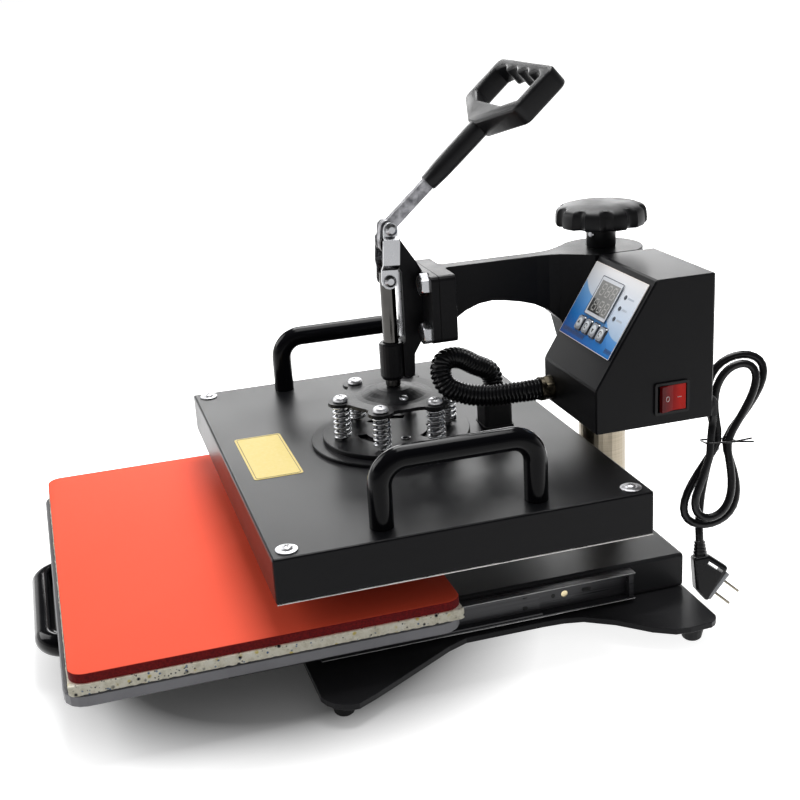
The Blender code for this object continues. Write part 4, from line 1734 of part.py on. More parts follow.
def make_plug(arm):
    """A flat plug body with a pull slot, a tapered boot and two blades."""
    outline = [(across * PLUG_SIZE, up * PLUG_SIZE) for across, up in PLUG_OUTLINE_SHARES]
    slot = [(across * PLUG_SIZE, up * PLUG_SIZE) for across, up in PLUG_SLOT_SHARES]
    body = plate("power_plug", outline, PLUG_THICKNESS, "XZ")
    rounded(body, PLUG_ROUNDING, 2, 30.0)
    bake(body)
    cut(body, plate("plug_slot", slot, PLUG_THICKNESS + 2.0 * CUT_OVERRUN, "XZ"))
    foot = Vector((PLUG_BOOT_X_SHARE * PLUG_SIZE, 0.0, PLUG_BOOT_Z_SHARE * PLUG_SIZE))
    top = foot + Vector((0.0, 0.0, PLUG_BOOT_LENGTH))
    join(body, cylinder("plug_boot", PLUG_BOOT_LOW_RADIUS, foot, top, 14, PLUG_BOOT_TOP_RADIUS))
    tilt = Matrix.Rotation(math.radians(PLUG_TILT_DEG), 4, "Y")
    for index, side in enumerate((-1.0, 1.0)):
        offset = side * BLADE_SPACING / 2.0
        blade = box(f"plug_blade_{index}", (-PLUG_SIZE / 4.0, -BLADE_WIDTH / 2.0, offset - BLADE_THICKNESS / 2.0),
                    (BLADE_LENGTH, BLADE_WIDTH / 2.0, offset + BLADE_THICKNESS / 2.0))
        blade.data.transform(tilt)
        join(body, blade)
    body.data.transform(plug_matrix())
    lowest = min(vertex.co.z for vertex in body.data.vertices)
    print(f"power_plug: lowest point {lowest:.5f} m")
    finish_part(body, arm, "rubber_black", plug_matrix().translation)


def button_place(index):
    return slant_matrix() @ Vector((button_centre(index), BUTTON_SLANT, 0.0))


def build():
    start()
    make_materials()
    root = joint_frame("press_frame", (0.0, 0.0, 0.0))
    middle = joint_frame("middle_rails_slide", (0.0, DRAWER_Y / 2.0, 0.0), root)
    drawer = joint_frame("drawer_slide", (0.0, DRAWER_Y, 0.0), root)
    height = joint_frame("arm_height_slide", (0.0, COLUMN_Y, 0.0), root)
    arm = joint_frame("arm_swing_axis", (0.0, COLUMN_Y, 0.0), height)
    knob = joint_frame("knob_axis", (0.0, COLUMN_Y, KNOB_BOTTOM), arm)
    plunger = joint_frame("plunger_slide", (0.0, PLUNGER_Y, 0.0), arm)
    head = joint_frame("head_float_slide", (0.0, PLUNGER_Y, 0.0), plunger)
    lever = joint_frame("lever_axis", (0.0, PIVOT_Y, PIVOT_Z), arm)
    links = joint_frame("links_axis", (0.0, PIVOT_Y, TOP_PIN_Z), lever)
    rocker_place = (CASE_RIGHT_X - ROCKER_AXIS_DEPTH, CASE_FRONT_Y + SWITCH_BACK, CASE_BOTTOM + SWITCH_RISE)
    rocker = joint_frame("rocker_axis", rocker_place, arm)
    buttons = [joint_frame(f"button_slide_{index + 1}", button_place(index), arm) for index in range(BUTTON_COUNT)]

    make_base(root)
    make_housing(root)
    make_column(root)
    make_rails(root, middle, drawer)
    make_drawer(drawer)
    make_head(head)
    make_mounting_disc(head)
    make_springs(plunger)
    make_plunger(plunger)
    make_bracket(arm)
    make_links(links)
    make_lever(lever)
    make_arm(arm)
    make_bush(height)
    make_knob(knob)
    make_case(arm, buttons)
    make_switch(arm, rocker)
    make_hose(arm, head)
    make_cord(arm)

    for tool in bpy.data.collections["heat_press_cutters"].objects:
        tool.parent = root
    root.location = (0.0, -ORIGIN_Y, 0.0)


build()
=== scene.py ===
"""Looks of the combo heat press: camera, light, materials and the fine pieces on its frame."""
import json
import math
import random

import bmesh
import bpy
from mathutils import Matrix, Vector, noise


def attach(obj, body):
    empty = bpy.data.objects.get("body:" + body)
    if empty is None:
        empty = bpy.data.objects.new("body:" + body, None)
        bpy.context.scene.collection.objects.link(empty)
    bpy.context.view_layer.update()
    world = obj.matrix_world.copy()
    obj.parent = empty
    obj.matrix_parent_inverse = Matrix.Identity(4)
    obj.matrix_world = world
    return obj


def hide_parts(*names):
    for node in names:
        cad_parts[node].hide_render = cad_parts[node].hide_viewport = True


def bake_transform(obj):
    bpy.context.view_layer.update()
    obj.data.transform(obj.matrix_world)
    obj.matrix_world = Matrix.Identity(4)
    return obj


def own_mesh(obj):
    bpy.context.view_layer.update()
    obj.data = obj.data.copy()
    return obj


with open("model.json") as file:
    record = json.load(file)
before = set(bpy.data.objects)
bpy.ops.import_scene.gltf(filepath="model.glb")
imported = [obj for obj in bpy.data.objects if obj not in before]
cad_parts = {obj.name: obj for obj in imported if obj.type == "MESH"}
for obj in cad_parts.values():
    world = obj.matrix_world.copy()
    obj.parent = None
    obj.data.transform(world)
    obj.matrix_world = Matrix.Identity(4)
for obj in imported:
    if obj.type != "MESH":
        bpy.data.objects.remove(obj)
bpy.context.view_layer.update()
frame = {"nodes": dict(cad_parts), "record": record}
SHIFT_Y = 0.0417
FULL_TURN = 2.0 * math.pi
UP = Vector((0.0, 0.0, 1.0))
FORWARD = Vector((0.0, -1.0, 0.0))
WORLD_SIZE = 40.0
SIDES = (("left", -1.0), ("right", 1.0))


def at(x, y, z):
    """A place in the machine's own frame, as in the part's source, taken to the row frame."""
    return Vector((x, y + SHIFT_Y, z))


def shifted(points):
    return [at(*point) for point in points]


# Camera, fitted to the photograph
CAMERA_RIGHT = (0.287798, 0.955981, -0.057208)
CAMERA_UP = (-0.297624, 0.146057, 0.943444)
CAMERA_BACK = (0.910270, -0.254495, 0.326558)
CAMERA_PLACE = at(0.9962, -0.2713, 0.5303)
CAMERA_LENS = 57.07
CAMERA_SENSOR = 36.0


def make_camera():
    data = bpy.data.cameras.new("camera")
    data.lens = CAMERA_LENS
    data.sensor_width = CAMERA_SENSOR
    data.clip_end = 2.0 * WORLD_SIZE
    camera = bpy.data.objects.new("camera", data)
    bpy.context.scene.collection.objects.link(camera)
    turn = Matrix((CAMERA_RIGHT, CAMERA_UP, CAMERA_BACK)).transposed().to_4x4()
    camera.matrix_world = Matrix.Translation(CAMERA_PLACE) @ turn
    bpy.context.scene.camera = camera


make_camera()


# Small tools for outlines and paths
def facing(place, aim=UP, turn=0.0):
    """The frame at a place whose z axis points along aim."""
    tilt = UP.rotation_difference(Vector(aim)).to_matrix().to_4x4()
    return Matrix.Translation(place) @ tilt @ Matrix.Rotation(turn, 4, "Z")


def arc(x, y, radius, start, end, steps):
    """Points on an arc whose angles are in degrees."""
    turns = [math.radians(start + (end - start) * step / steps) for step in range(steps + 1)]
    return [(x + radius * math.cos(turn), y + radius * math.sin(turn)) for turn in turns]


def circle(x, y, radius, steps):
    return arc(x, y, radius, 0.0, 360.0, steps)[:-1]


def rounded_rectangle(low, high, radius, steps=6):
    left, right, near, far = low[0] + radius, high[0] - radius, low[1] + radius, high[1] - radius
    points = []
    for index, (x, y) in enumerate(((right, far), (left, far), (left, near), (right, near))):
        points += arc(x, y, radius, 90.0 * index, 90.0 * index + 90.0, steps)
    return points


def inset(low, high, margin):
    """A rectangle's two corners, moved in by a margin."""
    return (low[0] + margin, low[1] + margin), (high[0] - margin, high[1] - margin)


def rounded_corner(before, corner, after, radius, steps):
    """Points on the arc that rounds a corner, in a plane or in space."""
    corner = Vector(corner)
    inward = (Vector(before) - corner).normalized()
    outward = (Vector(after) - corner).normalized()
    half = inward.angle(outward) / 2.0
    centre = corner + (inward + outward).normalized() * (radius / math.sin(half))
    first = corner + inward * (radius / math.tan(half)) - centre
    last = corner + outward * (radius / math.tan(half)) - centre
    sweep = first.angle(last)
    points = []
    for step in range(steps + 1):
        share = step / steps
        spot = first * math.sin((1.0 - share) * sweep) + last * math.sin(share * sweep)
        points.append(centre + spot / math.sin(sweep))
    return points


def softened(corners, radius, steps=5):
    """A closed flat outline with its corners rounded."""
    around = [corners[-1], *corners, corners[0]]
    outline = []
    for trio in zip(around, around[1:], around[2:]):
        outline += rounded_corner(*trio, radius, steps)
    return outline


def bent_path(corners, radius, steps):
    """A path through corners, each inner corner rounded to the bend radius."""
    path = [Vector(corners[0])]
    for trio in zip(corners, corners[1:], corners[2:]):
        path += rounded_corner(*trio, radius, steps)
    return [*path, Vector(corners[-1])]


def smooth_path(points, spacing):
    """Points at an even spacing on a smooth curve through the given ones."""
    fine_steps = 120
    knots = [Vector(point) for point in points]
    fine = []
    for index in range(len(knots) - 1):
        first, second = knots[index], knots[index + 1]
        chord = (second - first).length
        lean_in = (second - knots[max(index - 1, 0)]).normalized() * chord
        lean_out = (knots[min(index + 2, len(knots) - 1)] - first).normalized() * chord
        for step in range(fine_steps):
            t = step / fine_steps
            fine.append(first * (2 * t ** 3 - 3 * t ** 2 + 1) + second * (3 * t ** 2 - 2 * t ** 3)
                        + lean_in * (t ** 3 - 2 * t ** 2 + t) + lean_out * (t ** 3 - t ** 2))
    fine.append(knots[-1])
    lengths = [0.0]
    for first, second in zip(fine, fine[1:]):
        lengths.append(lengths[-1] + (second - first).length)
    count = max(2, round(lengths[-1] / spacing))
    even = []
    index = 0
    for step in range(count + 1):
        goal = lengths[-1] * step / count
        while index < len(lengths) - 2 and lengths[index + 1] < goal:
            index += 1
        stretch = lengths[index + 1] - lengths[index]
        even.append(fine[index].lerp(fine[index + 1], (goal - lengths[index]) / stretch))
    return even


# Small tools for shapes
def add(name, mesh, body=None, finish=None, smooth_deg=35.0):
    """A new piece with its finish and smooth faces, riding on its body."""
    item = bpy.data.objects.new(name, mesh)
    bpy.context.scene.collection.objects.link(item)
    if finish is not None:
        mesh.materials.append(finish)
    if smooth_deg is not None:
        mesh.shade_smooth()
        mesh.set_sharp_from_angle(angle=math.radians(smooth_deg))
    if body is not None:
        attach(item, body)
    return item


def built(name, build, matrix=None):
    """A mesh from what build does to an empty shape, taken through the matrix."""
    mesh = bpy.data.meshes.new(name)
    shape = bmesh.new()
    build(shape)
    if matrix is not None:
        bmesh.ops.transform(shape, matrix=matrix, verts=shape.verts)
    bmesh.ops.recalc_face_normals(shape, faces=shape.faces)
    shape.to_mesh(mesh)
    shape.free()
    return mesh


def bevelled(shape, edges, offset, segments):
    bmesh.ops.bevel(shape, geom=edges, offset=offset, segments=segments, profile=0.5, affect="EDGES")


def join_rings(shape, rings, capped=False):
    """Faces from each ring of points to the next, where a ring may be a single point."""
    for first, second in zip(rings, rings[1:]):
        count = max(len(first), len(second))
        for step in range(count):
            here = (first[step % len(first)], second[step % len(second)])
            after = (step + 1) % count
            corners = dict.fromkeys((*here, second[after % len(second)], first[after % len(first)]))
            if len(corners) > 2:
                shape.faces.new(tuple(corners))
    if capped:
        shape.faces.new(rings[0])
        shape.faces.new(rings[-1])


def turned(name, profile, matrix, body, finish, segments=48, smooth_deg=35.0, warp=None):
    """A turned form; the profile gives (radius, height) from its top end to its bottom end."""
    def build(shape):
        rings = []
        for radius, height in profile:
            ring = []
            for step in range(segments if radius > 0.0 else 1):
                angle = FULL_TURN * step / segments
                reach = radius if warp is None else warp(radius, height, angle)
                ring.append(shape.verts.new((reach * math.cos(angle), reach * math.sin(angle), height)))
            rings.append(ring)
        join_rings(shape, rings)

    return add(name, built(name, build, matrix), body, finish, smooth_deg)


def block(name, low, high, matrix, body, finish, bevel):
    def build(shape):
        bmesh.ops.create_cube(shape, size=1.0)
        bmesh.ops.scale(shape, vec=[b - a for a, b in zip(low, high)], verts=shape.verts)
        bmesh.ops.translate(shape, vec=[(a + b) / 2.0 for a, b in zip(low, high)], verts=shape.verts)
        bevelled(shape, list(shape.edges), bevel, 2)

    return add(name, built(name, build, matrix), body, finish)


def plate(name, outline, low, high, matrix=None, body=None, finish=None, bevel=0.0, segments=2,
          smooth_deg=35.0):
    """A flat outline between two levels, its rims rounded."""
    def build(shape):
        face = shape.faces.new([shape.verts.new((x, y, low)) for x, y in outline])
        grown = bmesh.ops.extrude_face_region(shape, geom=[face])
        top = [item for item in grown["geom"] if isinstance(item, bmesh.types.BMVert)]
        bmesh.ops.translate(shape, vec=(0.0, 0.0, high - low), verts=top)
        bmesh.ops.recalc_face_normals(shape, faces=shape.faces)
        if bevel > 0.0:
            rims = [edge for edge in shape.edges if abs(edge.verts[0].co.z - edge.verts[1].co.z) < 1e-7]
            bevelled(shape, rims, bevel, segments)

    return add(name, built(name, build, matrix), body, finish, smooth_deg)


def tube(name, points, radius, sides, body, finish, smooth_deg=35.0, radii=None, closed=False):
    """A round tube swept along points with a frame that doesn't twist; radii gives one per point."""
    count = len(points)

    def build(shape):
        rings = []
        normal = None
        for index, point in enumerate(points):
            before = points[index - 1] if index > 0 or closed else point
            after = points[(index + 1) % count] if index < count - 1 or closed else point
            aim = (after - before).normalized()
            if normal is None:
                normal = aim.orthogonal().normalized()
            normal = (normal - aim * normal.dot(aim)).normalized()
            side = aim.cross(normal)
            reach = radius if radii is None else radii[index]
            flat = circle(0.0, 0.0, reach, sides)
            rings.append([shape.verts.new(point + normal * x + side * y) for x, y in flat])
        if closed:
            offset = min(range(sides), key=lambda turn: (rings[0][turn].co - rings[-1][0].co).length)
            rings.append(rings[0][offset:] + rings[0][:offset])
        join_rings(shape, rings, capped=not closed)

    return add(name, built(name, build), body, finish, smooth_deg)


def edited(item, change):
    """Changes a piece's mesh as a bmesh."""
    shape = bmesh.new()
    shape.from_mesh(item.data)
    change(shape)
    shape.to_mesh(item.data)
    shape.free()


def combined(item, tool, operation="DIFFERENCE"):
    """Applies one boolean step and removes the tool."""
    step = item.modifiers.new(operation.lower(), "BOOLEAN")
    step.object = tool
    step.operation = operation
    bpy.context.view_layer.update()
    mesh = bpy.data.meshes.new_from_object(item.evaluated_get(bpy.context.evaluated_depsgraph_get()))
    mesh.set_sharp_from_angle(angle=math.radians(36.0))
    item.modifiers.clear()
    item.data = mesh
    bpy.data.objects.remove(tool)


def drawn(name, outlines, low, high, matrix, body, finish, smooth_deg=None):
    """Several flat patches between two levels as one piece."""
    def build(shape):
        for outline in outlines:
            rings = [[shape.verts.new((x, y, level)) for x, y in outline] for level in (low, high)]
            join_rings(shape, rings, capped=True)

    return add(name, built(name, build, matrix), body, finish, smooth_deg)


# Small tools for materials
class Nodes:
    """Short ways to add nodes to a tree."""

    def __init__(self, tree):
        self.tree = tree

    def put(self, socket, value):
        if isinstance(value, bpy.types.NodeSocket):
            self.tree.links.new(value, socket)
        elif isinstance(value, tuple) and socket.type == "RGBA":
            socket.default_value = (*value, 1.0)
        else:
            socket.default_value = value

    def node(self, kind, output, sockets, **settings):
        """A new node's output, its sockets fed with values or with other outputs."""
        made = self.tree.nodes.new(kind)
        for key, value in settings.items():
            setattr(made, key, value)
        for key, value in sockets.items():
            self.put(made.inputs[key], value)
        return made.outputs[output]

    def ramp(self, fac, stops):
        made = self.tree.nodes.new("ShaderNodeValToRGB")
        while len(made.color_ramp.elements) < len(stops):
            made.color_ramp.elements.new(0.5)
        for element, (place, colour) in zip(made.color_ramp.elements, stops):
            element.position = place
            element.color = (*colour, 1.0)
        self.put(made.inputs["Fac"], fac)
        return made.outputs["Color"]

    def grey(self, fac, low, high, start=0.3, end=0.7, **settings):
        return self.node("ShaderNodeMapRange", "Result", {"Value": fac, "From Min": start, "From Max": end,
                                                          "To Min": low, "To Max": high}, **settings)

    def math(self, operation, first, second=0.0):
        return self.node("ShaderNodeMath", "Value", {0: first, 1: second}, operation=operation)

    def mix(self, fac, first, second):
        return self.node("ShaderNodeMix", 2, {0: fac, 6: first, 7: second}, data_type="RGBA")

    def axes(self, where):
        return [self.node("ShaderNodeSeparateXYZ", axis, {"Vector": where}) for axis in "XYZ"]


class Finish(Nodes):
    """A procedural material whose textures run in the piece's own coordinates."""

    def __init__(self, name, colour, roughness, metallic=0.0, specular=None, tint=None):
        self.material = bpy.data.materials.new(name)
        self.material.use_nodes = True
        super().__init__(self.material.node_tree)
        self.shader = self.tree.nodes["Principled BSDF"]
        values = {"Base Color": colour, "Roughness": roughness, "Metallic": metallic,
                  "Specular IOR Level": specular, "Specular Tint": tint and (tint, tint, tint)}
        for socket, value in values.items():
            if value is not None:
                self.put(self.shader.inputs[socket], value)
        self.where = self.node("ShaderNodeTexCoord", "Object", {})

    def mapped(self, **sockets):
        return self.node("ShaderNodeMapping", "Vector", {"Vector": self.where, **sockets})

    def noise(self, scale, detail=3.0, rough=0.5, where=None):
        return self.node("ShaderNodeTexNoise", "Fac", {"Vector": where or self.where, "Scale": scale,
                                                       "Detail": detail, "Roughness": rough})

    def cells(self, scale, where):
        return self.node("ShaderNodeTexVoronoi", "Distance", {"Vector": where, "Scale": scale})

    def colour(self, value):
        self.put(self.shader.inputs["Base Color"], value)
        return self

    def tones(self, fac, low, high, start=0.3, end=0.7):
        return self.colour(self.ramp(fac, [(start, low), (end, high)]))

    def rough(self, fac, low, high):
        self.put(self.shader.inputs["Roughness"], self.grey(fac, low, high))
        return self

    def bump(self, height, distance, strength=1.0):
        sockets = {"Strength": strength, "Distance": distance, "Height": height}
        previous = self.shader.inputs["Normal"]
        if previous.is_linked:
            sockets["Normal"] = previous.links[0].from_socket
        self.put(previous, self.node("ShaderNodeBump", "Normal", sockets))
        return self


def powder_coat(name="powder_coat", low=(0.004, 0.004, 0.005), high=(0.007, 0.007, 0.008)):
    f = Finish(name, high, 0.36, specular=0.50, tint=0.16)
    broad = f.noise(9.0, 4.0)
    f.tones(broad, low, high).rough(broad, 0.33, 0.39)
    return f.bump(f.noise(1300.0, 2.0), 0.00018, 0.30).material


def cast_paint():
    low, high = (0.004, 0.004, 0.005), (0.009, 0.009, 0.010)
    f = Finish("cast_paint", high, 0.44, specular=0.50, tint=0.16)
    broad = f.noise(22.0, 4.0)
    f.tones(broad, low, high, 0.3, 0.72).rough(broad, 0.34, 0.46)
    return f.bump(f.noise(420.0, 4.0, 0.6), 0.0005, 0.30).bump(broad, 0.0012, 0.10).material


def gloss_enamel():
    f = Finish("gloss_enamel", (0.004, 0.004, 0.005), 0.12, specular=0.50, tint=0.13)
    return f.rough(f.noise(40.0, 3.0), 0.09, 0.16).bump(f.noise(260.0, 2.0), 0.0002, 0.10).material


def zinc_plate(name="zinc_plate", rough=0.24, colour=(0.38, 0.385, 0.40)):
    f = Finish(name, colour, rough, 1.0)
    broad = f.noise(70.0, 4.0)
    f.tones(broad, tuple(0.72 * c for c in colour), colour, 0.25, 0.75).rough(broad, rough * 0.7, rough * 1.6)
    return f.bump(f.noise(900.0, 2.0), 0.0001, 0.15).material


def ground_steel():
    f = Finish("ground_steel", (0.335, 0.292, 0.228), 0.33, 1.0)
    rings = f.noise(6.0, 4.0, 0.6, f.mapped(Scale=(1.0, 1.0, 160.0)))
    f.tones(rings, (0.26, 0.228, 0.172), (0.335, 0.292, 0.228))
    return f.rough(rings, 0.28, 0.38).bump(rings, 0.00005, 0.15).material


def lever_steel():
    f = Finish("lever_steel", (0.16, 0.16, 0.17), 0.42, 0.85)
    grain = f.noise(300.0, 4.0, 0.6)
    f.tones(f.noise(110.0, 5.0, 0.6), (0.10, 0.10, 0.11), (0.36, 0.36, 0.38), 0.36, 0.64)
    return f.rough(grain, 0.32, 0.52).bump(grain, 0.0004, 0.35).material


def moulded_plastic(name="moulded_plastic", rough=0.34):
    f = Finish(name, (0.010, 0.010, 0.011), rough, specular=0.50, tint=0.30)
    f.rough(f.noise(50.0, 3.0), rough * 0.85, rough * 1.2)
    return f.bump(f.noise(800.0, 2.0), 0.0002, 0.14).material


def rubber(name="rubber", rough=0.62, colour=(0.012, 0.012, 0.013)):
    f = Finish(name, colour, rough, specular=0.50, tint=0.50)
    f.rough(f.noise(90.0, 3.0), rough * 0.85, rough * 1.15)
    return f.bump(f.noise(1500.0, 2.0), 0.0001, 0.10).material


def silicone(name="silicone", low=(0.70, 0.072, 0.034), high=(0.82, 0.096, 0.046), size=1500.0):
    f = Finish(name, high, 0.60, specular=0.10)
    fine = f.noise(size, 3.0)
    return f.tones(fine, low, high).rough(fine, 0.54, 0.70).bump(fine, 0.00025, 0.25).material


def felt():
    """Cream recycled felt with dark, blue and yellow flecks and a fibrous surface."""
    f = Finish("felt", (0.90, 0.86, 0.72), 0.95, specular=0.15)
    colour = f.ramp(f.noise(130.0, 5.0, 0.7), [(0.30, (0.66, 0.62, 0.48)), (0.52, (0.90, 0.86, 0.72)),
                                               (0.75, (0.96, 0.94, 0.84))])
    for scale, size, fleck in ((150.0, 0.15, (0.015, 0.015, 0.02)), (190.0, 0.10, (0.08, 0.16, 0.30)),
                               (120.0, 0.12, (0.75, 0.62, 0.20)), (330.0, 0.15, (0.10, 0.10, 0.10))):
        where = f.mapped(Location=(scale * 0.013, scale * 0.007, scale * 0.011))
        spots = f.grey(f.cells(scale, where), 1.0, 0.0, size, size + 0.12)
        gate = f.grey(f.noise(scale * 0.35, 2.0, where=where), 0.0, 1.0, 0.46, 0.52)
        colour = f.mix(f.math("MULTIPLY", spots, gate), colour, fleck)
    f.colour(colour)
    return f.bump(f.noise(240.0), 0.0016, 0.6).bump(f.noise(900.0, 4.0, 0.7), 0.0007, 0.6).material


def tray_paint():
    low, high = (0.085, 0.085, 0.093), (0.15, 0.15, 0.16)
    f = Finish("tray_paint", high, 0.40, 0.35)
    broad = f.noise(18.0, 4.0)
    return f.tones(broad, low, high).rough(broad, 0.34, 0.50).bump(f.noise(900.0, 2.0), 0.0002, 0.2).material


def rail_steel():
    low, high = (0.022, 0.022, 0.025), (0.055, 0.055, 0.060)
    f = Finish("rail_steel", high, 0.32, 0.25)
    grain = f.noise(8.0, 4.0, 0.6, f.mapped(Scale=(60.0, 1.0, 60.0)))
    return f.tones(grain, low, high, 0.3, 0.75).rough(grain, 0.24, 0.44).bump(grain, 0.0001, 0.2).material


def platen_metal():
    low, high = (0.08, 0.08, 0.08), (0.16, 0.16, 0.16)
    f = Finish("platen_metal", high, 0.38, 0.8)
    return f.tones(f.noise(30.0, 4.0), low, high).bump(f.noise(500.0, 3.0), 0.0002, 0.2).material


def bronze():
    f = Finish("bronze", (0.45, 0.33, 0.18), 0.35, 1.0)
    return f.rough(f.noise(90.0, 3.0), 0.25, 0.45).material


def gland_plate():
    low, high = (0.040, 0.034, 0.024), (0.110, 0.095, 0.070)
    f = Finish("gland_plate", high, 0.30, 1.0)
    return f.tones(f.noise(120.0, 4.0), low, high).rough(f.noise(60.0, 3.0), 0.22, 0.42).material


def red_lens():
    """A clear red cap with painted light across it: painted shade at its ring side and a painted highlight at
    its bar side.
    """
    f = Finish("red_lens", (0.34, 0.006, 0.008), 0.22, specular=0.12)
    middle = 0.1951 + SHIFT_Y
    # Painted light: dark at the ring side, bright at the bar side, with a little cloudiness on top.
    side = f.grey(f.axes(f.where)[1], 0.0, 1.0, middle - 0.008, middle + 0.010)
    cloud = f.math("ADD", side, f.math("MULTIPLY", f.noise(90.0, 3.0), 0.30))
    f.colour(f.ramp(cloud, [(0.10, (0.115, 0.004, 0.006)), (0.55, (0.34, 0.006, 0.008)),
                            (1.0, (0.72, 0.022, 0.014))]))
    return f.rough(f.noise(60.0, 2.0), 0.18, 0.28).material


def plain(name, colour, rough):
    f = Finish(name, colour, rough)
    return f.rough(f.noise(300.0, 3.0), rough * 0.85, rough * 1.2).material


COAT = powder_coat()
# A lighter copy of the powder coat for the base plate and drawer housing: painted sheen.
BASE_COAT_PAINTED_SHEEN = powder_coat("base_coat_painted_sheen", (0.020, 0.020, 0.022), (0.027, 0.027, 0.029))
CAST = cast_paint()
ENAMEL = gloss_enamel()
ZINC = zinc_plate()
SPRING_ZINC = zinc_plate("spring_zinc", 0.18, (0.60, 0.61, 0.63))
# The plunger rod's colour is made far darker than steel: a painted dark reflection.
ROD_STEEL_PAINTED_DARK = zinc_plate("rod_steel_painted_dark_reflection", 0.12, (0.065, 0.063, 0.060))
SCREW_ZINC = zinc_plate("screw_zinc", 0.40, (0.82, 0.82, 0.84))
BRASS = zinc_plate("brass_plate", 0.30, (0.95, 0.82, 0.52))
BLADE = zinc_plate("blade_metal", 0.26, (0.30, 0.27, 0.21))
# A near-white metal for thin lines that stand in for a lit edge: painted highlight.
EDGE_HIGHLIGHT = zinc_plate("painted_edge_highlight", 0.30, (0.86, 0.84, 0.82))
WORN = zinc_plate("worn_lip", 0.34, (0.62, 0.62, 0.62))
STEEL = ground_steel()
LEVER_STEEL = lever_steel()
PLASTIC = moulded_plastic()
KNOB_PLASTIC = moulded_plastic("knob_plastic", 0.42)
GRIP_PLASTIC = moulded_plastic("grip_plastic", 0.36)
RUBBER = rubber()
CORD_RUBBER = rubber("cord_rubber", 0.26, (0.010, 0.010, 0.011))
HOSE_RUBBER = rubber("hose_rubber", 0.20, (0.008, 0.008, 0.009))
SILICONE = silicone()
# A darker copy of the silicone for the pad's side faces: painted shade.
SILICONE_SHADED_SIDE = silicone("silicone_painted_side_shade", (0.085, 0.004, 0.006), (0.23, 0.014, 0.014), 700.0)
RED = red_lens()
# Near-black patches where the rails' webs have holes and notches: painted shade.
HOLE_SHADE = plain("painted_hole_shade", (0.004, 0.004, 0.004), 0.7)
CLEAR = plain("clear_face", (0.42, 0.43, 0.45), 0.15)
YELLOW = plain("sticker_yellow", (0.54, 0.42, 0.11), 0.5)
# Black ink for print; the same black also makes a painted reflection on the display.
INK_AND_REFLECTION = plain("ink_and_painted_reflection_black", (0.010, 0.010, 0.010), 0.5)
SILVER = plain("silver_key", (0.26, 0.28, 0.31), 0.42)
WHITE_KEY = plain("key_white", (0.60, 0.63, 0.66), 0.35)
PALE_FRAME = plain("display_frame", (0.62, 0.64, 0.68), 0.40)
PALE_EDGE = plain("panel_rim", (0.86, 0.80, 0.74), 0.30)
GLASS_GREY = plain("display_grey", (0.24, 0.24, 0.235), 0.22)
FIGURE = plain("figure_grey", (0.40, 0.395, 0.38), 0.28)
SLATE = plain("slate_line", (0.060, 0.072, 0.100), 0.40)
FAINT = plain("faint_mark", (0.42, 0.47, 0.54), 0.40)
LAMP = plain("lamp_grey", (0.055, 0.065, 0.085), 0.24)
NAVY = plain("navy_print", (0.008, 0.030, 0.110), 0.4)
MARK = plain("mark_white", (0.72, 0.62, 0.62), 0.4)

FELT = felt()
GLAND = gland_plate()
FINISH_OF_SLOT = {
    "powder_coat_black": COAT, "cast_black": CAST, "rail_black": rail_steel(), "rubber_black": RUBBER,
    "grip_black": PLASTIC, "gloss_black": ENAMEL, "bezel_black": PLASTIC, "silicone_red": SILICONE,
    "felt_cream": FELT, "tray_grey": tray_paint(), "aluminium_plate": platen_metal(), "zinc": ZINC,
    "lever_steel": LEVER_STEEL, "brushed_steel": STEEL, "panel_blue": COAT, "button_silver": ZINC,
    "rocker_red": RED, "gland_metal": GLAND, "bronze": bronze(),
}
FINISH_OF_NODE = {"plunger_rod": ROD_STEEL_PAINTED_DARK, "base_plate": BASE_COAT_PAINTED_SHEEN, "drawer_housing": BASE_COAT_PAINTED_SHEEN}
for row in frame["record"]["subparts"]:
    slots = frame["nodes"][row["node"]].data.materials
    slots.clear()
    slots.append(FINISH_OF_NODE.get(row["node"], FINISH_OF_SLOT[row["material_slot"]]))


def shading_group():
    """Smooth shading that keeps edges sharper than a set angle."""
    group = bpy.data.node_groups.new("even_shading", "GeometryNodeTree")
    for way in ("INPUT", "OUTPUT"):
        group.interface.new_socket("Geometry", in_out=way, socket_type="NodeSocketGeometry")
    first, last, smooth, sharp, angle, above = (group.nodes.new(kind) for kind in (
        "NodeGroupInput", "NodeGroupOutput", "GeometryNodeSetShadeSmooth", "GeometryNodeSetShadeSmooth",
        "GeometryNodeInputMeshEdgeAngle", "FunctionNodeCompare"))
    sharp.domain = "EDGE"
    sharp.inputs["Shade Smooth"].default_value = False
    above.data_type = "FLOAT"
    above.operation = "GREATER_THAN"
    above.inputs["B"].default_value = math.radians(32.0)
    group.links.new(first.outputs[0], smooth.inputs["Geometry"])
    group.links.new(smooth.outputs["Geometry"], sharp.inputs["Geometry"])
    group.links.new(angle.outputs["Unsigned Angle"], above.inputs["A"])
    group.links.new(above.outputs["Result"], sharp.inputs["Selection"])
    group.links.new(sharp.outputs["Geometry"], last.inputs[0])
    return group


RIM_OF_NODE = {
    "control_case": 0.0009, "platen_cover": 0.0008, "lower_platen": 0.0005, "drawer_housing": 0.0005,
    "base_plate": 0.0005, "switch_bezel": 0.0003, "hose_tower": 0.0008, "swing_arm": 0.0009,
    "toggle_bracket": 0.0004, "link_strap_left": 0.0008, "link_strap_right": 0.0008,
}
SHADING = shading_group()
for name, node in frame["nodes"].items():
    if name in RIM_OF_NODE:
        rim = node.modifiers.new("rim", "BEVEL")
        rim.width = RIM_OF_NODE[name]
        rim.segments = 3
        rim.limit_method = "ANGLE"
        rim.angle_limit = math.radians(50.0)
    node.modifiers.new("shading", "NODES").node_group = SHADING


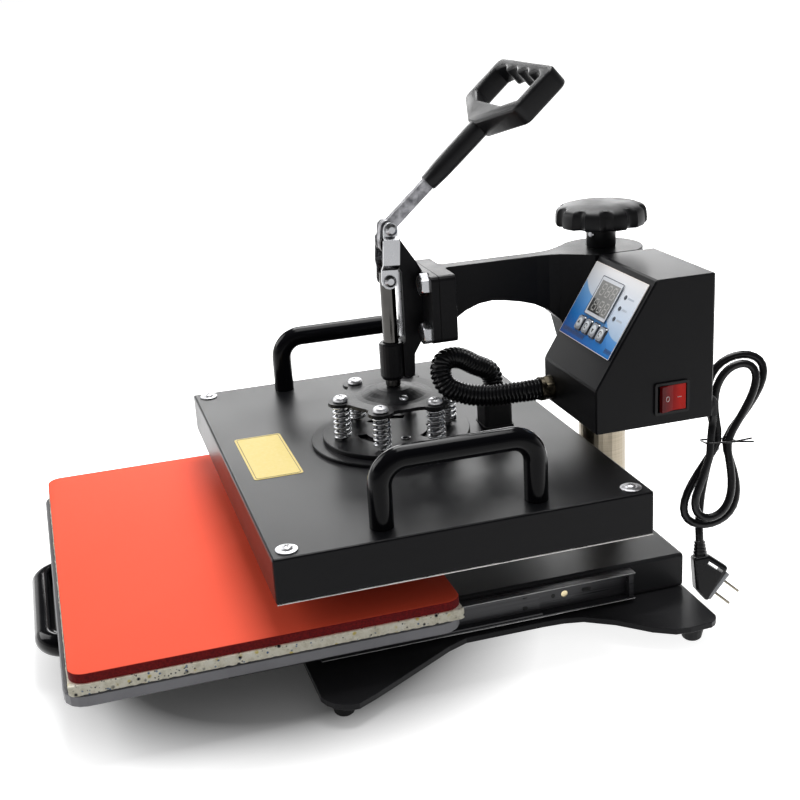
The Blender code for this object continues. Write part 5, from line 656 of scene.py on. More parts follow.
# Power cord, hank and plug; the route repeats the part's own
CORD_RADIUS = 0.0034
CORD_SPACING = 0.004
END_GAP = 0.0003
CASE_LEFT_X = 0.0303
CASE_FRONT_Y = 0.1293
CASE_REAR_Y = CASE_FRONT_Y + 0.1037
CASE_TOP = 0.286
CASE_BOTTOM = CASE_TOP - 0.120
CASE_RIGHT_X = CASE_LEFT_X + 0.1033
COLUMN_Y = 0.1973
HANK_PITCH = 0.0078
HANK_TURNS = 2
HANK_FRAME = (Matrix.Translation((CASE_LEFT_X + 0.0943, CASE_REAR_Y + 0.0145, CASE_BOTTOM - 0.0266))
              @ Matrix.Rotation(math.radians(74.4), 4, "Z") @ Matrix.Rotation(-math.radians(14.0), 4, "X"))
PLUG_SIZE = 0.033
PLUG_FRAME = HANK_FRAME @ Matrix.Translation((-0.008, HANK_PITCH * HANK_TURNS / 2.0, -0.1225))
PLUG_BOOT_X = -0.37 * PLUG_SIZE
PLUG_BOOT_FOOT = 0.62 * PLUG_SIZE
PLUG_BOOT_LENGTH = 0.017
BOOT_END = Vector((CASE_LEFT_X + 0.0942, CASE_REAR_Y + 0.0053, CASE_BOTTOM + 0.0085 - 0.0110))


def hank_point(angle):
    """A point of the hank; it is drawn in at the waist, and each turn lies behind the last."""
    turn = angle / FULL_TURN
    grow = min(max((turn - 0.72) / 0.5, 0.0), 1.0)
    grow = grow * grow * (3.0 - 2.0 * grow)
    width = 0.0435 * (0.66 + 0.34 * grow)
    height = 0.070 * (0.90 + 0.10 * grow)
    up = -height * math.sin(angle)
    across = -width * math.cos(angle) * math.hypot(0.0040 / width, math.sin(angle))
    across += up * (0.30 if up > 0.0 else 0.24)
    return Vector((across, HANK_PITCH * (turn - HANK_TURNS / 2.0), up))


def cord_points():
    steps = 48
    join = 6
    angles = [FULL_TURN * step / steps for step in range(join, HANK_TURNS * steps + 1)]
    turns = [HANK_FRAME @ hank_point(angle) for angle in angles]
    knots = [BOOT_END - 2.0 * CORD_RADIUS * UP]
    for place in ((-0.0104, -0.0077, 0.0080), (-0.0117, -0.0080, -0.0020), (-0.0130, -0.0080, -0.0120)):
        knots.append(HANK_FRAME @ Vector(place))
    lead = smooth_path([*knots, turns[0]], CORD_SPACING)
    aim = (turns[-1] - turns[-2]).normalized()
    plug_up = (PLUG_FRAME.to_3x3() @ UP).normalized()
    top = PLUG_FRAME @ Vector((PLUG_BOOT_X, 0.0, PLUG_BOOT_FOOT + PLUG_BOOT_LENGTH))
    tail = [turns[-1] + aim * (END_GAP + 2.0 * CORD_RADIUS)]
    for across, up in ((-0.0078, -0.0120), (-0.0130, -0.0290), (-0.0175, -0.0490), (-0.0197, -0.0690)):
        tail.append(HANK_FRAME @ Vector((across, HANK_PITCH + 0.0016, up)))
    tail.append(top + plug_up * (2.0 * CORD_RADIUS + END_GAP))
    return [BOOT_END, *lead[:-1], *turns, *smooth_path(tail, CORD_SPACING), top + plug_up * END_GAP]


def make_tie():
    """A wire round the hank's waist and its two twisted ends."""
    wire = 0.0008
    ring = rounded_rectangle((-0.0117 - 0.0044, -0.0122), (0.0048 + 0.0044, 0.0122), 0.0031, 6)
    points = shifted([HANK_FRAME @ Vector((across, depth, 0.0)) for across, depth in ring])
    pieces = [tube("tie_wire", points, wire, 8, "arm", CORD_RUBBER, closed=True)]
    for index, reach in enumerate(((0.014, -0.001, -0.0008), (0.012, -0.003, 0.0022))):
        start = Vector((0.0048 + 0.0040, -0.0118, 0.0004 * index))
        path = shifted([HANK_FRAME @ (start + Vector(reach) * share) for share in (0.0, 0.4, 0.7, 1.0)])
        pieces.append(tube(f"tie_end_{index + 1}", path, wire, 8, "arm", CORD_RUBBER))
    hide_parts("cord_tie")
    return pieces


def make_cord():
    points = shifted(cord_points())
    cord = tube("power_cord", points, CORD_RADIUS, 14, "arm", CORD_RUBBER, 60.0)
    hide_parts("cord_hank", "cord_tail")
    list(make_tie())
    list(make_plug())


def keep_large_faces_flat(shape):
    for edge in shape.edges:
        edge.smooth = edge.smooth and all(side.calc_area() < 2e-5 for side in edge.link_faces)


def make_plug():
    """Body with a pull slot, ribbed boot, clear face and two blades."""
    place = Matrix.Translation((0.0, SHIFT_Y, 0.0)) @ PLUG_FRAME
    upright = place @ Matrix.Rotation(math.pi / 2.0, 4, "X")
    outline, slot = ([(x * PLUG_SIZE, z * PLUG_SIZE) for x, z in ring] for ring in (
        ((-0.19, 0.80), (0.30, 0.45), (-0.28, -0.42), (-0.56, -0.08), (-0.59, 0.75)),
        ((-0.20, 0.640), (0.150, 0.385), (0.105, 0.325), (-0.245, 0.580))))
    outline = softened(outline, 0.0028)
    body = plate("plug_body", outline, -0.008, 0.008, upright, "arm", CORD_RUBBER, 0.0026, 5)
    combined(body, plate("plug_slot", slot, -0.012, 0.012, upright))
    edited(body, keep_large_faces_flat)
    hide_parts("power_plug")
    profile = [(0.0, PLUG_BOOT_FOOT + PLUG_BOOT_LENGTH)]
    ribs = 6
    for rib in range(ribs):
        share = rib / ribs
        radius = 0.0046 + 0.0022 * share
        top = PLUG_BOOT_FOOT + PLUG_BOOT_LENGTH * (1.0 - share)
        groove = radius * 0.84
        profile += [(radius, top), (radius, top - 0.0018), (groove, top - 0.0020), (groove, top - 0.0027)]
    profile += [(0.0070, PLUG_BOOT_FOOT), (0.0, PLUG_BOOT_FOOT)]
    foot = place @ Matrix.Translation((PLUG_BOOT_X, 0.0, 0.0))
    boot = turned("plug_boot", profile, foot, "arm", CORD_RUBBER, 20)
    tilted = place @ Matrix.Rotation(math.radians(40.0), 4, "Y")
    low, high = (-0.0012, -0.0078, -0.0135), (0.0022, 0.0078, 0.0135)
    pieces = [body, boot, block("plug_face", low, high, tilted, "arm", CLEAR, 0.0010)]
    for index, middle in enumerate((-0.00635, 0.00635)):
        low, high = (0.0, -0.0030, middle - 0.0010), (0.0188, 0.0030, middle + 0.0010)
        pieces.append(block(f"plug_blade_{index + 1}", low, high, tilted, "arm", BLADE, 0.0007))
    return pieces


make_cord()


# Wiring hose and its nut
HOSE_START = Vector((CASE_LEFT_X + 0.0135, CASE_FRONT_Y, CASE_BOTTOM + 0.0135))
HOSE_RADIUS = 0.0093


def hose_route():
    """From the nut to the top of the platen's tower; knots are in units of 0.1 m from its two ends."""
    start = HOSE_START - Vector((0.0, 0.0017, 0.0))
    end = Vector((0.008, 0.0880 + 0.0023, 0.140 + 0.024 - 0.008))
    knots = ((0.0, 0.0, 0.0), (0.0, -0.186, 0.0), (-0.003, -0.250, 0.0), (-0.06, -0.53, -0.010),
             (-0.10, -0.72, 0.022), (-0.155, -0.865, 0.100), (-0.215, -0.895, 0.220),
             (-0.27, -0.835, 0.288), (-0.31, -0.700, 0.280), (-0.345, -0.550, 0.190))
    last = ((-0.006, -0.025, 0.325), (0.0, 0.0, 0.180), (0.0, 0.0, 0.0))
    return [start + 0.1 * Vector(knot) for knot in knots] + [end + 0.1 * Vector(knot) for knot in last]


def make_hose():
    steps = 8
    pitch = 0.0032
    points = shifted(smooth_path(hose_route(), pitch / steps))
    radii = []
    for index in range(len(points)):
        phase = (index % steps) / steps
        radii.append(0.0080 + 0.0013 * (0.5 + 0.5 * math.cos(FULL_TURN * (phase - 0.5))) ** 0.6)
    hose = tube("corrugated_hose", points, HOSE_RADIUS, 28, None, HOSE_RUBBER, 60.0, radii)
    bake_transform(hose)
    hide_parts("wiring_hose")


def hexagon(radius, half, angle):
    return min(radius, half / math.cos((angle + math.pi / 6.0) % (math.pi / 3.0) - math.pi / 6.0))


def make_gland():
    """A hexagonal nut and a turned collar where the hose leaves the box."""
    def warp(radius, height, angle):
        return hexagon(radius, 0.0095, angle) if 0.0006 <= height <= 0.0068 else radius

    profile = [(0.0, 0.0110), (0.0098, 0.0110), (0.0103, 0.0104), (0.0103, 0.0074), (0.0100, 0.0069),
               (0.0103, 0.0067), (0.0107, 0.0062), (0.0107, 0.0010), (0.0103, 0.0005), (0.0109, 0.0004),
               (0.0109, 0.0), (0.0, 0.0)]
    place = at(*HOSE_START) + 0.0001 * FORWARD
    nut = turned("hose_nut", profile, facing(place, FORWARD), "arm", GLAND, 72, 30.0, warp)
    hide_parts("hose_gland")


make_hose()
make_gland()


# Smooth bent handles
def make_handle(name, corners, bend, body, node):
    handle = tube(name, bent_path(corners, bend, 16), 0.0092, 40, body, ENAMEL, 60.0)
    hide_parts(node)


def make_handles():
    reach, foot, top = 0.061, 0.1403, 0.192
    for name, side in SIDES:
        bow = ((-reach, foot), (-reach, top), (reach, top), (reach, foot))
        corners = [at(side * 0.174, y, z) for y, z in bow]
        make_handle(f"smooth_handle_{name}", corners, 0.020, "head", f"cover_handle_{name}")
    reach, foot, top = 0.069, -0.2903, -0.311
    bow = ((-reach, foot), (-reach, top), (reach, top), (reach, foot))
    corners = [at(x, y, 0.0372) for x, y in bow]
    make_handle("smooth_drawer_handle", corners, 0.0187, "drawer", "drawer_handle")


make_handles()


# Lever's moulded grip
LEVER = Matrix.Translation((0.0, 0.005 + SHIFT_Y, 0.32385)) @ Matrix.Rotation(math.radians(41.4), 4, "X")


def round_grip_rims(shape):
    bmesh.ops.dissolve_limit(shape, angle_limit=0.002, verts=shape.verts, edges=shape.edges)
    rims = [edge for edge in shape.edges if edge.is_manifold and edge.calc_face_angle() > math.radians(65.0)]
    bmesh.ops.bevel(shape, geom=rims, offset=0.0024, segments=4, profile=0.5, affect="EDGES",
                    clamp_overlap=True)


def grip_neck(shape):
    """Rings of a flattened round, each (place along the lever, half width, half thickness)."""
    sides = 32
    power = 0.72
    rings = []
    sizes = ((0.0490, 0.0066, 0.0058), (0.0494, 0.0074, 0.0065), (0.0504, 0.0078, 0.0068),
             (0.0560, 0.0083, 0.0072), (0.0640, 0.0089, 0.0077), (0.0800, 0.0091, 0.0079),
             (0.1000, 0.0091, 0.0080), (0.1120, 0.0092, 0.0080), (0.1220, 0.0094, 0.0080))
    for along, across, thick in sizes:
        rings.append([shape.verts.new((across * math.copysign(abs(c) ** power, c), along,
                                       thick * math.copysign(abs(d) ** power, d)))
                      for c, d in circle(0.0, 0.0, 1.0, sides)])
    join_rings(shape, rings, capped=True)


def make_grip():
    half = 0.0585
    end = 0.1768
    corner = 0.0085
    grooves = 40
    right = [(0.0090, 0.1100)] + arc(half - corner, 0.1280 + corner, corner, -64.0, 0.0, 5)
    right += arc(half - corner, end - corner, corner, 0.0, 90.0, 6)
    outline = right + [(-x, y) for x, y in reversed(right)]
    opening = [(-0.0270, 0.1312), (0.0270, 0.1312), (0.0475, 0.1400)]
    for step in range(grooves + 1):
        share = step / grooves
        opening.append((0.0475 * (1.0 - 2.0 * share), 0.1640 + 0.0050 * abs(math.sin(4.0 * math.pi * share))))
    opening.append((-0.0475, 0.1400))
    grip = plate("moulded_grip", outline, -0.0090, 0.0090, LEVER, smooth_deg=None)
    combined(grip, plate("opening_tool", opening, -0.02, 0.02, LEVER))
    edited(grip, round_grip_rims)
    combined(grip, add("neck_tool", built("neck_tool", grip_neck, LEVER)), "UNION")
    grip.data.materials.clear()
    grip.data.materials.append(GRIP_PLASTIC)
    grip.data.shade_smooth()
    grip.data.set_sharp_from_angle(angle=math.radians(38.0))
    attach(grip, "lever")
    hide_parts("lever_grip")


make_grip()


# Lower platen's pads
PAD_Y = -0.1515
PAD_WIDTH = 0.384
PAD_LENGTH = 0.289


def soft_slab(name, out, bottom, top, corner, grid, edge, wave, seed, finish):
    """A slab with rounded rims on a fine grid, whose faces are gently uneven."""
    low = (-PAD_WIDTH / 2.0 - out, PAD_Y + SHIFT_Y - PAD_LENGTH / 2.0 - out)
    high = (PAD_WIDTH / 2.0 + out, PAD_Y + SHIFT_Y + PAD_LENGTH / 2.0 + out)
    middle = Vector(((low[0] + high[0]) / 2.0, (low[1] + high[1]) / 2.0, 0.0))
    outline = rounded_rectangle(low, high, corner, 8)
    dense = []
    for first, second in zip(outline, outline[1:] + outline[:1]):
        count = max(1, round(math.dist(first, second) / grid))
        dense += [Vector(first).lerp(Vector(second), step / count).to_3d() for step in range(count)]
    bends = [(x, edge - y) for x, y in arc(0.0, 0.0, edge, 0.0, 90.0, 4)]
    layers = [(top - edge + rise, inward) for rise, inward in bends] + [((top + bottom) / 2.0, 0.0)]
    layers += [(bottom + edge - rise, inward) for rise, inward in reversed(bends)]

    def build(shape):
        rings = []
        for height, inward in layers:
            ring = []
            for point in dense:
                out_way = (point - middle).normalized()
                place = point - inward * out_way + height * UP
                place += wave * noise.noise(place * 260.0 + Vector((seed, 0.0, 0.0))) * out_way
                ring.append(shape.verts.new(place))
            rings.append(ring)
        join_rings(shape, rings, capped=True)

    return add(name, built(name, build), "drawer", finish, 50.0)


def make_pads():
    pad = soft_slab("silicone_sheet", 0.0, 0.0703, 0.0780, 0.012, 0.004, 0.0010, 0.00005, 3.0, SILICONE)
    pad.data.materials.append(SILICONE_SHADED_SIDE)
    # The side faces take the darker copy of the silicone: painted shade, not a colour of their own.
    for face in pad.data.polygons:
        if abs(face.normal.z) < 0.75:
            face.material_index = 1
    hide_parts("silicone_pad")
    base = soft_slab("felt_sheet", 0.0008, 0.0618, 0.0700, 0.0035, 0.0012, 0.0009, 0.0011, 11.0, FELT)
    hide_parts("felt_pad")


make_pads()


# Discs, bolts, springs and the spider's trim
PLUNGER_Y = 0.0023
COVER_TOP = 0.140
COVER_BOTTOM = 0.1045
DISC_TOP = 0.147
SPIDER_BOTTOM = 0.177
SPIDER_TOP = 0.180
BOLT_CIRCLE = 0.0475


def recess_cut(item, place, size, depth, aim=UP, turn=0.0):
    """Cuts a cross recess into a screw head."""
    arm = size * 0.24
    cross = []
    for step in range(4):
        angle = math.pi / 2.0 * step
        for across, along in ((arm, -arm), (size, -arm * 0.8), (size, arm * 0.8)):
            cross.append((across * math.cos(angle) - along * math.sin(angle),
                          across * math.sin(angle) + along * math.cos(angle)))
    combined(item, plate("recess_tool", cross, -depth, depth, facing(place, aim, turn), smooth_deg=None))


def make_disc():
    place = Matrix.Translation(at(0.0, PLUNGER_Y, 0.0))
    edge = 0.0005
    low = COVER_TOP + 0.0003
    step = low + 0.0027
    profile = [(0.0, DISC_TOP), (0.0640 - edge, DISC_TOP), (0.0640, DISC_TOP - edge), (0.0640, step + 0.0001),
               (0.0640, step), (0.0740 - edge, step), (0.0740, step - edge), (0.0740, low), (0.0, low)]
    disc = turned("stepped_disc", profile, place, "head", COAT, 128, 40.0)
    for index in range(3):
        start = 120.0 * index + 31.0
        ring = arc(0.0, 0.0, 0.035, start, start + 62.0, 48) + arc(0.0, 0.0, 0.027, start + 62.0, start, 48)
        combined(disc, plate("slot_tool", ring, DISC_TOP - 0.0025, DISC_TOP + 0.002, place, smooth_deg=None))
    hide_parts("mounting_disc")
    ring = [at(x, y, DISC_TOP + 0.0003) for x, y in circle(0.0247, 0.0036, 0.0036, 32)]
    tube("disc_eyelet", ring, 0.0006, 8, "head", ZINC, closed=True)


def make_spider_screw():
    profile = [(0.0, 0.0012), (0.0020, 0.0011), (0.0034, 0.0006), (0.0038, 0.0), (0.0038, -0.0020),
               (0.0, -0.0020)]
    aim = Vector((0.29, 0.02, 0.95))
    spot = at(0.0237, 0.0040, 0.1828)
    screw = turned("spider_screw", profile, facing(spot, aim), "plunger", ZINC, 32)
    recess_cut(screw, spot + 0.0014 * aim, 0.0020, 0.0010, aim, 0.5)


def coil_path(x, y, angle):
    """A coil between disc and spider whose first and last tenths lie nearly flat."""
    coils = 6.2
    count = round(coils * 20)
    flat = 0.0024
    low = DISC_TOP + 0.0013
    high = SPIDER_BOTTOM - 0.0013
    points = []
    for step in range(count + 1):
        share = step / count
        climb = min(max((share - 0.10) / 0.80, 0.0), 1.0)
        height = low + flat * min(share, 0.10) / 0.10 + flat * max(share - 0.90, 0.0) / 0.10
        height += climb * (high - low - 2.0 * flat)
        turn = angle + FULL_TURN * coils * share
        points.append(at(x + 0.0066 * math.cos(turn), y + 0.0066 * math.sin(turn), height))
    return points


def make_bolts():
    random.seed(4)
    seat = SPIDER_TOP + 0.0003
    profile = [(0.0, seat + 0.0044), (0.0024, seat + 0.0044), (0.0046, seat + 0.0040),
               (0.0058, seat + 0.0032), (0.0063, seat + 0.0020), (0.0063, seat + 0.0004), (0.0060, seat),
               (0.0031, seat), (0.0031, DISC_TOP), (0.0, DISC_TOP)]
    for index in range(6):
        angle = math.radians(-90.0 + 60.0 * index)
        x = BOLT_CIRCLE * math.cos(angle)
        y = PLUNGER_Y + BOLT_CIRCLE * math.sin(angle)
        place = Matrix.Translation(at(x, y, 0.0))
        bolt = turned(f"bolt_{index + 1}", profile, place, "head", SCREW_ZINC, 40)
        recess_cut(bolt, at(x, y, seat + 0.0046), 0.0030, 0.0020, turn=random.uniform(0.0, 1.5))
        spring = tube(f"coil_{index + 1}", coil_path(x, y, angle), 0.0013, 12, "plunger", SPRING_ZINC)
        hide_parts(f"spring_{index + 1}")
        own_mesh(spring)


make_disc()
make_spider_screw()
make_bolts()


# Cover's corner screws, a painted highlight along the platen's edges under it, and its plain sticker
def make_cover_screws():
    random.seed(7)
    profile = [(0.0, 0.0030), (0.0016, 0.0030), (0.0034, 0.0026), (0.0045, 0.0016), (0.0047, 0.0009),
               (0.0078, 0.0009), (0.0082, 0.0007), (0.0083, 0.0002), (0.0082, 0.0), (0.0, 0.0)]
    for index, (side, end) in enumerate(((1, -1), (1, 1), (-1, -1), (-1, 1))):
        place = at(side * 0.184, end * 0.1345, COVER_TOP)
        foot = facing(place + 0.0002 * UP)
        screw = turned(f"cover_screw_{index + 1}", profile, foot, "head", SCREW_ZINC, 32)
        recess_cut(screw, place + 0.0034 * UP, 0.0026, 0.0016, turn=random.uniform(0.0, 1.5))


def make_cover_trim():
    # Thin bright lines along the bottom of the cover's two sides: a painted highlight on the platen's edge.
    for name, side in SIDES:
        edge = [at(side * 0.1966, y, COVER_BOTTOM) for y in (-0.1470, -0.1465, 0.1465, 0.1470)]
        tube(f"platen_edge_{name}", edge, 0.00062, 8, "head", EDGE_HIGHLIGHT)
    low = (-0.053, -0.132 + SHIFT_Y)
    high = (0.047, -0.091 + SHIFT_Y)
    outline = rounded_rectangle(low, high, 0.003, 5)
    plate("plain_sticker", outline, COVER_TOP + 0.00005, COVER_TOP + 0.00025, body="head", finish=YELLOW)
    outline = rounded_rectangle(*inset(low, high, 0.002), 0.002, 4)
    ring = [Vector((*point, COVER_TOP + 0.00030)) for point in outline]
    tube("sticker_line", ring, 0.00022, 4, "head", INK_AND_REFLECTION, closed=True)


make_cover_screws()
make_cover_trim()


# Plated heads on the bracket's four bolts
def make_bracket_bolts():
    def warp(radius, height, angle):
        return hexagon(radius, 0.0084, angle) if radius >= 0.006 else radius

    profile = [(0.0, 0.0071), (0.0050, 0.0071), (0.0080, 0.0070), (0.0094, 0.0062), (0.0099, 0.0054),
               (0.0099, 0.0002), (0.0099, 0.0), (0.0, 0.0)]
    places = [(side * 0.0242, 0.0296, height) for side in (-1.0, 1.0) for height in (0.2782, 0.2368)]
    for index, place in enumerate(places):
        turned(f"hex_head_{index + 1}", profile, facing(at(*place), FORWARD), "arm", ZINC, 96, 25.0, warp)


make_bracket_bolts()


# Rails: worn lips, a screw, and painted shade in the holes and notches of their webs
RAIL_MIDDLE_Z = 0.0360
OUTER_WEB_X = 0.1406
MIDDLE_WEB_X = 0.1424
HOLES = ((0.0869, 0.0, 0.0018, 0.0018), (0.1163, 0.0004, 0.0042, 0.0017))
NOTCHES = ((0.0616, 0.0050, 0.0022, 0.0016), (0.0616, -0.0050, 0.0022, 0.0016))
WEB_HOLE_SHADES = (("rail_holes", "root", OUTER_WEB_X, HOLES),
             ("rail_notches", "middle_rails", MIDDLE_WEB_X, NOTCHES))


def make_rail_trim():
    profile = [(0.0, 0.0001), (0.0009, 0.0001), (0.0011, 0.0003), (0.0023, 0.0003), (0.0029, 0.0001),
               (0.0029, -0.0004), (0.0, -0.0004)]
    for name, side in SIDES:
        for level, height in (("low", 0.0245), ("high", 0.0474)):
            path = [at(side * 0.1499, y, height) for y in (-0.1095, -0.109, 0.155, 0.1555)]
            tube(f"rail_lip_{level}_{name}", path, 0.00042, 8, "root", WORN)
        spot = at(side * OUTER_WEB_X, 0.0969, RAIL_MIDDLE_Z)
        turned(f"rail_screw_{name}", profile, facing(spot, (side, 0.0, 0.0)), "root", BRASS, 24)
        # Dark flat patches on the webs where they have holes and notches: painted shade.
        for piece, body, web, marks in WEB_HOLE_SHADES:
            turn = Matrix(((0.0, 0.0, side, side * web), (1.0, 0.0, 0.0, SHIFT_Y),
                           (0.0, 1.0, 0.0, RAIL_MIDDLE_Z), (0.0, 0.0, 0.0, 1.0)))
            outlines = [rounded_rectangle((y - wide, rise - high), (y + wide, rise + high), high * 0.98, 5)
                        for y, rise, wide, high in marks]
            drawn(f"{piece}_{name}", outlines, -0.0003, 0.00012, turn, body, HOLE_SHADE, 35.0)


make_rail_trim()


# Pressure knob
KNOB_BOTTOM = 0.2863


def make_knob():
    """Ten flat lobes with round scallops between them, a low crown and a short hub."""
    base = KNOB_BOTTOM
    low = base + 0.0195
    rim = base + 0.0358
    profile = [(0.0, rim + 0.0032), (0.008, rim + 0.0031), (0.016, rim + 0.0028), (0.023, rim + 0.0021),
               (0.029, rim + 0.0011), (0.0330, rim + 0.0002), (0.0354, rim - 0.0006), (0.0370, rim - 0.0016),
               (0.0381, rim - 0.0030), (0.0387, rim - 0.0046), (0.0391, rim - 0.0070), (0.0394, low + 0.0050),
               (0.0393, low + 0.0022), (0.0386, low + 0.0008), (0.0372, low), (0.0352, low + 0.0004),
               (0.0340, low + 0.0030), (0.0150, low + 0.0030), (0.0135, low + 0.0020), (0.0129, low - 0.0010),
               (0.0127, base + 0.0006), (0.0122, base), (0.0, base)]

    def warp(radius, height, angle):
        grip = min(1.0, max(0.0, (radius - 0.0325) / 0.0045))
        phase = abs((angle / FULL_TURN * 10.0) % 1.0 - 0.5)
        scallop = math.cos(math.pi * phase / 0.50) ** 0.85 if phase < 0.25 else 0.0
        return radius - 0.0040 * scallop * grip

    place = Matrix.Translation(at(0.0, COLUMN_Y, 0.0))
    knob = turned("lobed_knob", profile, place, "knob", KNOB_PLASTIC, 280, 40.0, warp)
    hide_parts("pressure_knob")
    screw = [(0.0, 0.0006), (0.0022, 0.0004), (0.0030, -0.0004), (0.0030, -0.0060), (0.0, -0.0060)]
    direction = Vector((math.cos(math.radians(-68.0)), math.sin(math.radians(-68.0)), 0.0))
    spot = at(0.0, COLUMN_Y, base + 0.0120) + direction * 0.0129
    turned("knob_set_screw", screw, facing(spot, direction), "knob", ZINC, 24)


make_knob()


# Control panel
SLANT = (Matrix.Translation((CASE_LEFT_X, CASE_FRONT_Y + SHIFT_Y, CASE_TOP - 0.083))
         @ Matrix.Rotation(math.atan2(0.083, 0.0524), 4, "X"))
SLANT_AIM = (SLANT.to_3x3() @ UP).normalized()
PANEL_FACE = 0.0013
PANEL_LOW = (0.0037, 0.0260)
PANEL_HIGH = (0.0981, 0.0922)
DISPLAY_LOW = (0.0294, 0.0497)
DISPLAY_HIGH = (0.0670, 0.0840)
GLASS_LOW = (DISPLAY_LOW[0] + 0.0025, DISPLAY_LOW[1] + 0.0030)
GLASS_HIGH = (DISPLAY_HIGH[0] - 0.0022, DISPLAY_HIGH[1] - 0.0034)
DISPLAY_TOP = PANEL_FACE + 0.0012
KEY_TOP = PANEL_FACE + 0.0016
LAMP_ROWS = ((0.0757, 0.0100), (0.0658, 0.0080), (0.0565, 0.0095))


def panel_print():
    """Pale grey above, blue below, with a scalloped edge between the two fields."""
    f = Finish("panel_print", (0.13, 0.32, 0.62), 0.55, specular=0.10)
    back = SLANT.inverted()
    x, y, _ = f.axes(f.mapped(Location=tuple(back.to_translation()), Rotation=tuple(back.to_euler())))
    across = f.grey(x, 0.0, 1.0, PANEL_LOW[0], PANEL_HIGH[0])
    along = f.grey(y, 0.0, 1.0, PANEL_LOW[1], PANEL_HIGH[1])
    blue = f.ramp(f.math("ADD", along, f.math("MULTIPLY", across, 0.34)),
                  [(0.04, (0.002, 0.070, 0.36)), (0.34, (0.022, 0.19, 0.56)), (0.62, (0.13, 0.32, 0.62)),
                   (0.80, (0.26, 0.44, 0.66))])
    pale = f.ramp(along, [(0.15, (0.30, 0.45, 0.64)), (0.50, (0.52, 0.60, 0.71)), (1.0, (0.66, 0.65, 0.65))])
    wave = f.math("ABSOLUTE", f.math("SINE", f.math("MULTIPLY", across, 3.0 * math.pi)))
    border = f.math("SUBTRACT", f.math("ADD", f.math("MULTIPLY", across, -0.52), 0.75),
                    f.math("MULTIPLY", wave, 0.050))
    above = f.grey(f.math("SUBTRACT", along, border), 0.0, 1.0, -0.006, 0.006)
    return f.colour(f.mix(above, blue, pale)).rough(f.noise(500.0, 2.0), 0.50, 0.60).material


def rectangle(low, high):
    return [(low[0], low[1]), (high[0], low[1]), (high[0], high[1]), (low[0], high[1])]


def printed(name, outlines, level, thick, finish, body="arm"):
    """Flat patches on the slanted face as one piece."""
    return drawn(name, outlines, level, level + thick, SLANT, body, finish)


def outlined(name, outline, level, radius, finish):
    """A thin line along an outline on the slanted face."""
    ring = [SLANT @ Vector((x, y, level)) for x, y in outline]
    tube(name, ring, radius, 6, "arm", finish, closed=True)


def make_face():
    corners = rounded_rectangle(PANEL_LOW, PANEL_HIGH, 0.0008, 4)
    face = plate("printed_panel", corners, 0.0003, PANEL_FACE, SLANT, "arm", panel_print(), 0.00025, 2, 30.0)
    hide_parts("control_panel")
    outlined("panel_edge", corners, PANEL_FACE - 0.0002, 0.00030, PALE_EDGE)


def make_hatch():
    slope, pitch, rise = 0.0007, 0.0019, 0.0022
    hatch = []
    for start, count, up in ((0.0070, 21, 0.0300), (0.0858, 6, 0.0300)):
        for index in range(count):
            x = start + pitch * index
            hatch.append([(x, up), (x + 0.0012, up), (x + 0.0012 + slope, up + rise), (x + slope, up + rise)])
        for low, high in ((0.0025, 0.0029), (-0.0007, -0.0003)):
            hatch.append(rectangle((start, up + low), (start + pitch * count, up + high)))
    printed("panel_hatch", hatch, PANEL_FACE, 0.00008, NAVY)


def make_display():
    rim = rounded_rectangle(DISPLAY_LOW, DISPLAY_HIGH, 0.0010, 4)
    outlined("display_outline", rim, DISPLAY_TOP + 0.00012, 0.00028, SLATE)
    rim = rounded_rectangle(*inset(DISPLAY_LOW, DISPLAY_HIGH, 0.0003), 0.0008, 4)
    plate("display_rim", rim, DISPLAY_TOP - 0.0002, DISPLAY_TOP + 0.00015, SLANT, "arm", PALE_FRAME)
    printed("display_glass", [rectangle(GLASS_LOW, GLASS_HIGH)], DISPLAY_TOP + 0.00016, 0.00014, GLASS_GREY)
    # A black stepped patch over the glass's lower-left corner: a painted reflection.
    steps = 7
    wide, tall = 0.0235, 0.0135
    x, y = GLASS_LOW
    reflection_patch = [(x, y), (x + wide, y)]
    for step in range(1, steps + 1):
        reach = x + wide * (1.0 - step / steps)
        rise = y + tall * step / steps
        reflection_patch += [(reach + 0.0034 * (step < steps), rise - 0.0019), (reach, rise)]
    printed("display_painted_reflection", [reflection_patch], DISPLAY_TOP + 0.00030, 0.00004, INK_AND_REFLECTION)
    printed("figure_bars", digits(), DISPLAY_TOP + 0.00035, 0.00005, FIGURE)


def digits():
    """Two rows of three unlit seven-segment figures, as flat outlines."""
    width = 0.0060
    height = 0.0096
    half = 0.0006
    lean = 0.10
    bars = []
    for row in range(2):
        for column in range(3):
            x = GLASS_LOW[0] + 0.0046 + 0.0096 * column
            y = GLASS_HIGH[1] - 0.0118 - 0.0140 * row
            for level in (0.0, 0.5, 1.0):
                left = x + lean * level * height
                middle = y + level * height
                bars.append(rectangle((left + half, middle - half), (left + width - half, middle + half)))
            for side in (x, x + width):
                for level in (0.0, 0.5):
                    first = level * height + half * 1.3
                    second = (level + 0.5) * height - half * 1.3
                    ends = ((-half, first), (half, first), (half, second), (-half, second))
                    bars.append([(side + across + lean * up, y + up) for across, up in ends])
    return bars


def make_panel_lamps():
    profile = [(0.0, 0.0009), (0.0010, 0.0008), (0.0017, 0.0005), (0.0021, 0.0001), (0.0021, -0.0002),
               (0.0, -0.0002)]
    for index, (up, _) in enumerate(LAMP_ROWS):
        spot = SLANT @ Vector((0.0759, up, PANEL_FACE))
        turned(f"lamp_{index + 1}", profile, facing(spot, SLANT_AIM), "arm", LAMP, 24)
    marks = [rectangle((0.0800, up - 0.0008), (0.0800 + reach, up + 0.0008)) for up, reach in LAMP_ROWS]
    printed("lamp_marks", marks, PANEL_FACE, 0.00006, FAINT)


